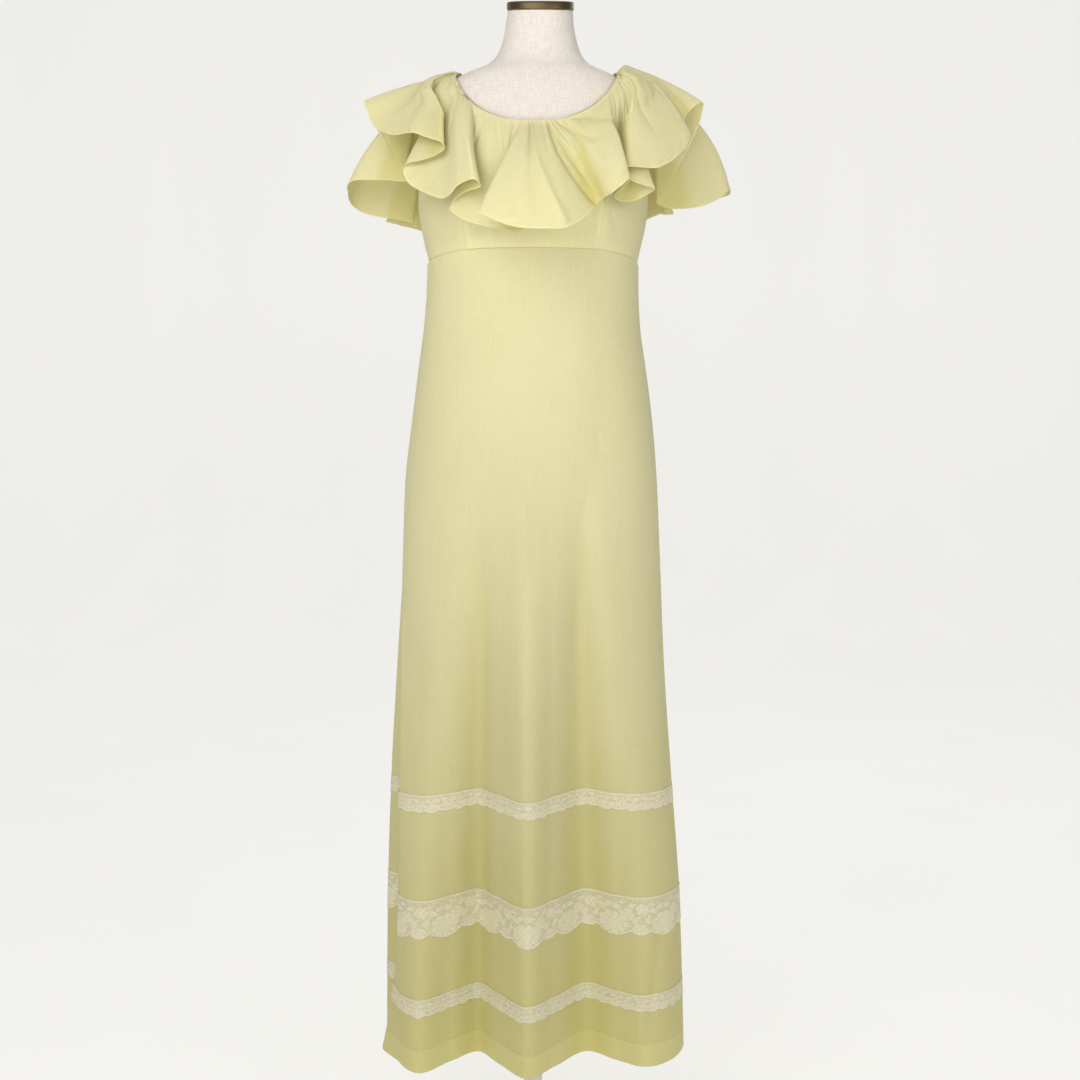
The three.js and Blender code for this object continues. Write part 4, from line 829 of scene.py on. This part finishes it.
hem_rows = np.array([29, 30.3, 31, 31.7, 33]) / SKIRT_DROP
climbs = np.unique(np.concatenate([fine_steps(0, 1.0002, 112), hem_rows]))
for name, start, end, cols, wide, area in (("skirt_back_left", -180, SIDE_SEAM_LEFT, 150, 0.45, 0.345),
                                           ("skirt_front", SIDE_SEAM_LEFT, SIDE_SEAM_RIGHT, 300, 0.74, 0.57),
                                           ("skirt_back_right", SIDE_SEAM_RIGHT, 180, 146, 0.41, 0.315)):
    climb, at = np.meshgrid(climbs, fine_steps(start + SEAM_ANGLE, end - SEAM_ANGLE, cols), indexing="ij")
    plain = on_skirt(at, climb, np.full(at.shape, 0.6))
    left, right, low, high = edges_away(plain)
    pressed = (0.35 * (dip(left, 1.4) + dip(right, 1.4)) + 0.06 * dip(high, 1.3)
               + 0.22 * dip(low - HEM_DEPTH, 1.2) + 0.25 * dip(low, 1))
    outer = on_skirt(at, climb, np.minimum(skirt_skin(at, climb) - pressed, 1.15))
    inner = on_skirt(at, climb, np.minimum(skirt_skin(at, climb) - 0.7, 0.4))
    along = run(plain, 1)
    u = (along - along[:, :1]).mean(0)[None, :] + 0 * along + (start + 200) * 5
    out = unit(on_skirt(at, climb, np.full(at.shape, 2.0)) - plain)
    around = sum(skirt_point(at + k, climb) for k in (-15, -10, -5, 5, 10, 15)) / 6
    # painted shade: the mark deep makes sunken folds, and the skirt from the hem to two thirds up, a deeper,
    # darker yellow
    painted_fold_shade = 0.24 * np.clip(((around - plain) * out).sum(-1) / 9 - 0.1, 0, 1)
    allowance = 0.7 * dip(np.minimum(left, right) - 4, 6) + 0.6 * dip(high - 4, 6)
    marks = {"double": np.maximum(smooth((HEM_DEPTH - low) / 1.5 + 0.5), allowance),
             "deep": painted_fold_shade + 0.56 * smooth(1 - climb * 1.5)}
    obj = shell("sewn_" + name, outer, inner, np.stack([u, low], -1) * MM, marks, name)
    row = int(np.argmin(np.abs(low[:, cols // 2] - HEM_DEPTH)))
    thread = stitches("hem_stitches_" + name[6:], outer[row] + out[row] * 0.05, out[row], 2.3, 1.0, 0.42)


# --- lace
def soft_edge(d, width=1.1):
    return smooth(d / width * 0.5 + 0.5)


def leaf(u, v, cu, cv, long, short, turn):
    x = (u - cu) * math.cos(rad(turn)) + (v - cv) * math.sin(rad(turn))
    y = -(u - cu) * math.sin(rad(turn)) + (v - cv) * math.cos(rad(turn))
    inside = 1 - np.hypot(x / long, y / short / (1 - 0.35 * x / long))
    return soft_edge(inside * short) * (1 - 0.55 * dip(y, 0.45) * (np.abs(x) < long * 0.75))


def flower(u, v, cu, cv, wide, tall, petals, turn=0.0):
    x, y = (u - cu) / wide, (v - cv) / tall
    r, way = np.hypot(x, y), np.arctan2(y, x) * petals / 2 + turn
    reach = 0.78 + 0.22 * np.abs(np.cos(way)) ** 0.7
    inside = soft_edge((reach - r) * min(wide, tall))
    between = dip(np.cos(way), 0.16) * smooth((r - 0.25) * 6)
    rings = dip((r - 0.34) * tall, 0.7) + dip((r - 0.66 * reach) * tall, 0.55)
    return inside * (1 - np.clip(0.5 * between + 0.35 * rings, 0, 0.6))


def streaks(u, v, period, bend, length):
    """Close satin lines along the lace that rise and fall together."""
    return 0.5 + 0.5 * np.sin(2 * math.pi * (v + bend * np.sin(2 * math.pi * u / length)) / period)


def repeat(u, period):
    return (u % period + period) % period


def narrow_lace(u, v, depth):
    w = 38.0
    p = repeat(u, w)
    d = np.abs(repeat(u, w / 2) - w / 4)
    loops = (0.6 + 0.9 * smooth(wander(u, 9, 51))) * np.abs(np.sin(math.pi * u / 4.2))
    foot = 3.4 * (d / (w / 4)) ** 2 + 1.2 * (p > w / 2) * (1 - d / (w / 4)) + loops
    dense = 0 * u
    for k in (-1, 0, 1):
        q = p + k * w
        dense = np.maximum.reduce([
            dense, flower(q, v, 9.5, 8.6, 7.6, 5.6, 7), flower(q, v, 28.5, 8.8, 7.2, 5.2, 6, 0.6),
            leaf(q, v, 19, 9.5, 5.2, 2.4, 32), leaf(q, v, 0.2, 9.6, 5, 2.2, -30),
            leaf(q, v, 14, 17, 6.2, 2.3, 12), leaf(q, v, 27, 17.4, 6.4, 2.3, -14),
            leaf(q, v, 37, 16.4, 4.6, 2, 20), leaf(q, v, 4.5, 16.6, 4.4, 1.9, -28)])
    fill = streaks(u, v, 3.1, 1.8, w / 2) * smooth((v - foot) / 3)
    dense = np.maximum(dense * (0.72 + 0.28 * streaks(u, v, 2.2, 1.3, w / 2)), 0.62 * fill)
    border = 0.95 * dip(v - foot - 1.3, 1.5)
    beads = 0.6 + 0.4 * np.sin(math.pi * u / 1.6)
    top = soft_edge(1.1 - np.abs(v - depth + 1.1)) + 0.85 * dip(v - depth + 4.6, 0.7) * beads
    return foot, np.clip(np.maximum.reduce([dense, border, top]), 0, 1)


def wide_lace(u, v, depth):
    w = 78.0
    p = repeat(u, w)
    big, small = np.abs(p - w / 2), np.minimum(p, w - p)
    loops = (0.9 + 1.3 * smooth(wander(u, 13, 52))) * np.abs(np.sin(math.pi * u / 5.6))
    foot = np.minimum(9.5 * (big / 27) ** 2, 4.2 + 5.2 * (small / 14) ** 2) + loops
    vine = 34 + 5.5 * np.sin(2 * math.pi * (p - 12) / w)
    dense = 0.85 * dip(v - vine, 1.0)
    for k in (-1, 0, 1):
        q = p + k * w
        dense = np.maximum.reduce([
            dense, flower(q, v, 38, 18.5, 23, 15.5, 9, 0.3), flower(q, v, 59, 31.5, 11, 8.8, 7),
            flower(q, v, 3, 40, 10.5, 8, 6, 0.5), flower(q, v, 77, 13.5, 10.5, 7.2, 7, 0.2),
            leaf(q, v, 20, 37, 8.5, 3.6, -28), leaf(q, v, 30, 42, 7.5, 3.2, 18),
            leaf(q, v, 44, 41, 8, 3.2, -12), leaf(q, v, 66, 45, 7, 2.8, 24), leaf(q, v, 72, 26, 7.5, 3.4, 48),
            leaf(q, v, 11, 27, 7.5, 3.2, 58), leaf(q, v, 16, 47, 6, 2.4, 0), leaf(q, v, 52, 48, 6, 2.2, 6)])
    fill = streaks(u, v, 2.7, 3.2, w) * smooth((33 - v) / 8) * smooth((v - foot) / 3)
    dense = np.maximum(dense * (0.7 + 0.3 * streaks(u, v, 2.3, 2.2, w)), 0.66 * fill)
    border = 0.95 * dip(v - foot - 1.5, 1.7) + 0.5 * dip(v - foot - 5.2, 0.8)
    beads = 0.6 + 0.4 * np.sin(math.pi * u / 1.7)
    top = soft_edge(1.2 - np.abs(v - depth + 1.2)) + 0.9 * dip(v - depth + 5.0, 0.8) * beads
    return foot, np.clip(np.maximum.reduce([dense, border, top]), 0, 1)


LACES = zip(("upper", "middle", "lower"), LACE_ROWS, (narrow_lace, wide_lace, narrow_lace), (20, 46, 20))
HALVES = (("front", SIDE_SEAM_LEFT, SIDE_SEAM_RIGHT, 0, "sewn_skirt_front"),
          ("back", SIDE_SEAM_RIGHT, SIDE_SEAM_LEFT + 360, 17, "sewn_skirt_back_left"))
for band, (top_climb, depth), pattern, rows in LACES:
    for half, start, end, shift, under in HALVES:
        at = np.linspace(start + 2 * SEAM_ANGLE, end - 2 * SEAM_ANGLE, 620)[None, :]
        wrapped = (at + 180) % 360 - 180
        line = skirt_point(wrapped, top_climb - depth / 2 / SKIRT_DROP)
        u = run(line, 1) + shift
        foot_v, _ = pattern(u, 0 * u, depth)
        v = mix(foot_v, depth, np.linspace(0, 1, rows + 1)[:, None])
        u = u + 0 * v
        inside = smooth((v - foot_v) / 8)
        stray_u, stray_v = 1.5 * inside * wander2(u, v, 6, 7, 35), 1.1 * inside * wander2(u, v, 5, 8, 36)
        _, dense = pattern(u + stray_u, v + stray_v, depth)
        climb = top_climb - (depth - v) / SKIRT_DROP
        wrapped = wrapped + 0 * v
        lift = skirt_skin(wrapped, climb) + 0.28 + 0.4 * dense + 0.12 * wander2(u, v, 6, 6, 31)
        low_edge = 0.5 * smooth(1 - (v - foot_v) / 6) * (0.4 + 0.6 * wander(u, 23, 33) ** 2)
        points = on_skirt(wrapped, climb, np.minimum(lift + low_edge, WALL + LAY_GAP + 1.6))
        obj = make_mesh(f"sewn_lace_{band}_{half}", points.reshape(-1, 3), quads(*u.shape),
                        np.stack([u, v], -1).reshape(-1, 2) * MM, {"dense": dense})
        dress(obj, LACE_CREAM)
        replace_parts(obj, f"lace_{band}_{half}")


# --- ruffle
# Sharp creases of the ruffle: place and share of the drop at each end, width in places, depth in mm.
RUFFLE_CREASES = [
    (59.75, 0.02, 59.8, 0.38, 0.5, 7), (59.8, 0.38, 61.5, 0.98, 0.5, 7), (56.5, 0.05, 57.5, 0.47, 0.28, -3.4),
    (57.5, 0.47, 59.0, 0.96, 0.32, -5.5), (56.05, 0.04, 56.75, 0.42, 0.32, 4.2),
    (56.75, 0.42, 57.3, 0.9, 0.3, 2.2), (62.9, 0.03, 64.6, 0.42, 0.5, 3.2),
    (64.4, 0.02, 67.0, 0.5, 0.6, 3.6), (61.0, 0.02, 62.2, 0.3, 0.35, 2.6), (51.8, 0.03, 50.4, 0.5, 0.5, 3),
    (47.0, 0.03, 44.9, 0.5, 0.5, 2.4), (40.0, 0.02, 38.3, 0.45, 0.5, 2.4), (34.5, 0.05, 33.5, 0.7, 0.6, 2.6),
    (25.2, 0.05, 24.2, 0.75, 0.6, 2.6), (70.5, 0.02, 72.4, 0.6, 0.6, 3), (76.2, 0.04, 78.4, 0.7, 0.7, 3),
    (80.6, 0.05, 83.2, 0.85, 0.9, 1.5), (29.2, 0.1, 28.4, 0.8, 0.9, 1.2), (67.8, 0.06, 68.2, 0.45, 0.5, 1.6),
]
draw = np.random.default_rng(7).uniform
RUFFLE_CREASES += [(p, 0.02, p + draw(-0.8, 0.8), draw(0.25, 0.85), draw(0.2, 0.5), draw(-1.0, 2.0))
                   for p in draw(0, LAST, 70)]


def pressed_lines(place, v):
    total = 0 * v
    for p0, v0, p1, v1, width, deep in RUFFLE_CREASES:
        t = np.clip((v - v0) / (v1 - v0), -0.3, 1.3)
        away = (place - mix(p0, p1, t) + LAST / 2) % LAST - LAST / 2
        total -= deep * np.exp(-np.abs(away) / width * 1.6) * smooth((t + 0.1) * 5) * smooth((1.15 - t) * 4)
    return total


place_of = lambda a: float(np.interp(a, neck_at(np.linspace(0, LAST, 4001)), np.linspace(0, LAST, 4001)))
seam_left, seam_right = place_of(-90), place_of(90)
rises = np.unique(np.concatenate([1 - np.array([0, 0.006, 0.014, 0.028, 0.045]), np.linspace(0.03, 0.935, 40),
                                  [0, 0.004, 0.01, 0.017, 0.022, 0.027]]))
for name, start, end, density, outer_radius, area in (("ruffle_front", seam_left, seam_right, 7.5, 206, 0.108),
                                                     ("ruffle_back", seam_right, LAST + seam_left, 7, 252, 0.197)):
    flat = (2 * outer_radius * MM,) * 2
    cols = int((end - start) * density)
    rise, place = np.meshgrid(rises, fine_steps(start + RUFFLE_SEAM, end - RUFFLE_SEAM, cols), indexing="ij")
    v = 1 - rise
    plain = on_ruffle(place, rise, np.full(place.shape, 0.5))
    along, _, low, high = edges_away(plain)
    neck_run = neck_at(place % LAST) * 1.9
    gather = 3.2 * (0.4 - np.abs(wander(neck_run, 5.2, 41))) * smooth(v * 14) * dip(v, 0.24)
    gather = gather * (0.45 + 0.55 * smooth(wander(neck_run, 42, 42)))
    soft = 0.9 * wander2(place + 8, v, 0.8, 0.33, 43) * np.sin(math.pi * np.clip(v, 0, 1)) ** 0.7
    crush = 0.5 * wander2(place + 8, v, 0.35, 0.12, 47) * dip(v - 0.35, 0.35)
    roll = 0.2 * smooth((4.2 - low) / 0.8) - 0.22 * dip(low - 4.6, 0.8)
    ripple = 0.8 * wander2(along, 0 * v, 12, 1, 49) * dip(low, 16)
    lines = pressed_lines(place, v)
    shape = (np.clip(gather + soft + crush, -2.6, 2.2) + lines + ripple) * smooth(high / 12)
    outer = on_ruffle(place, rise, 0.75 + shape + roll)
    inner = on_ruffle(place, rise, 0.2 + shape - roll * 0.6)
    turn, r = along[:1] / outer_radius, outer_radius - RUFFLE_WIDTH * v
    uv = np.stack([r * np.cos(turn), r * np.sin(turn)], -1) * MM
    around = sum(ruffle_point(place + k, rise) for k in (-2.4, -1.6, -0.8, 0.8, 1.6, 2.4)) / 6
    out = unit(stack(around[..., 0], around[..., 1], 0 * v))
    # painted shade: sunken flutes and pressed creases get a deeper yellow through the mark deep
    painted_fold_shade = 0.6 * np.clip(((around - plain) * out).sum(-1) / 6 - 0.08, 0, 1) + np.clip(-lines / 15, 0, 0.45)
    marks = {"double": np.maximum(smooth((4.4 - low) / 0.8), dip(high - 3, 5)), "deep": painted_fold_shade}
    obj = shell("sewn_" + name, outer, inner, uv, marks, name)
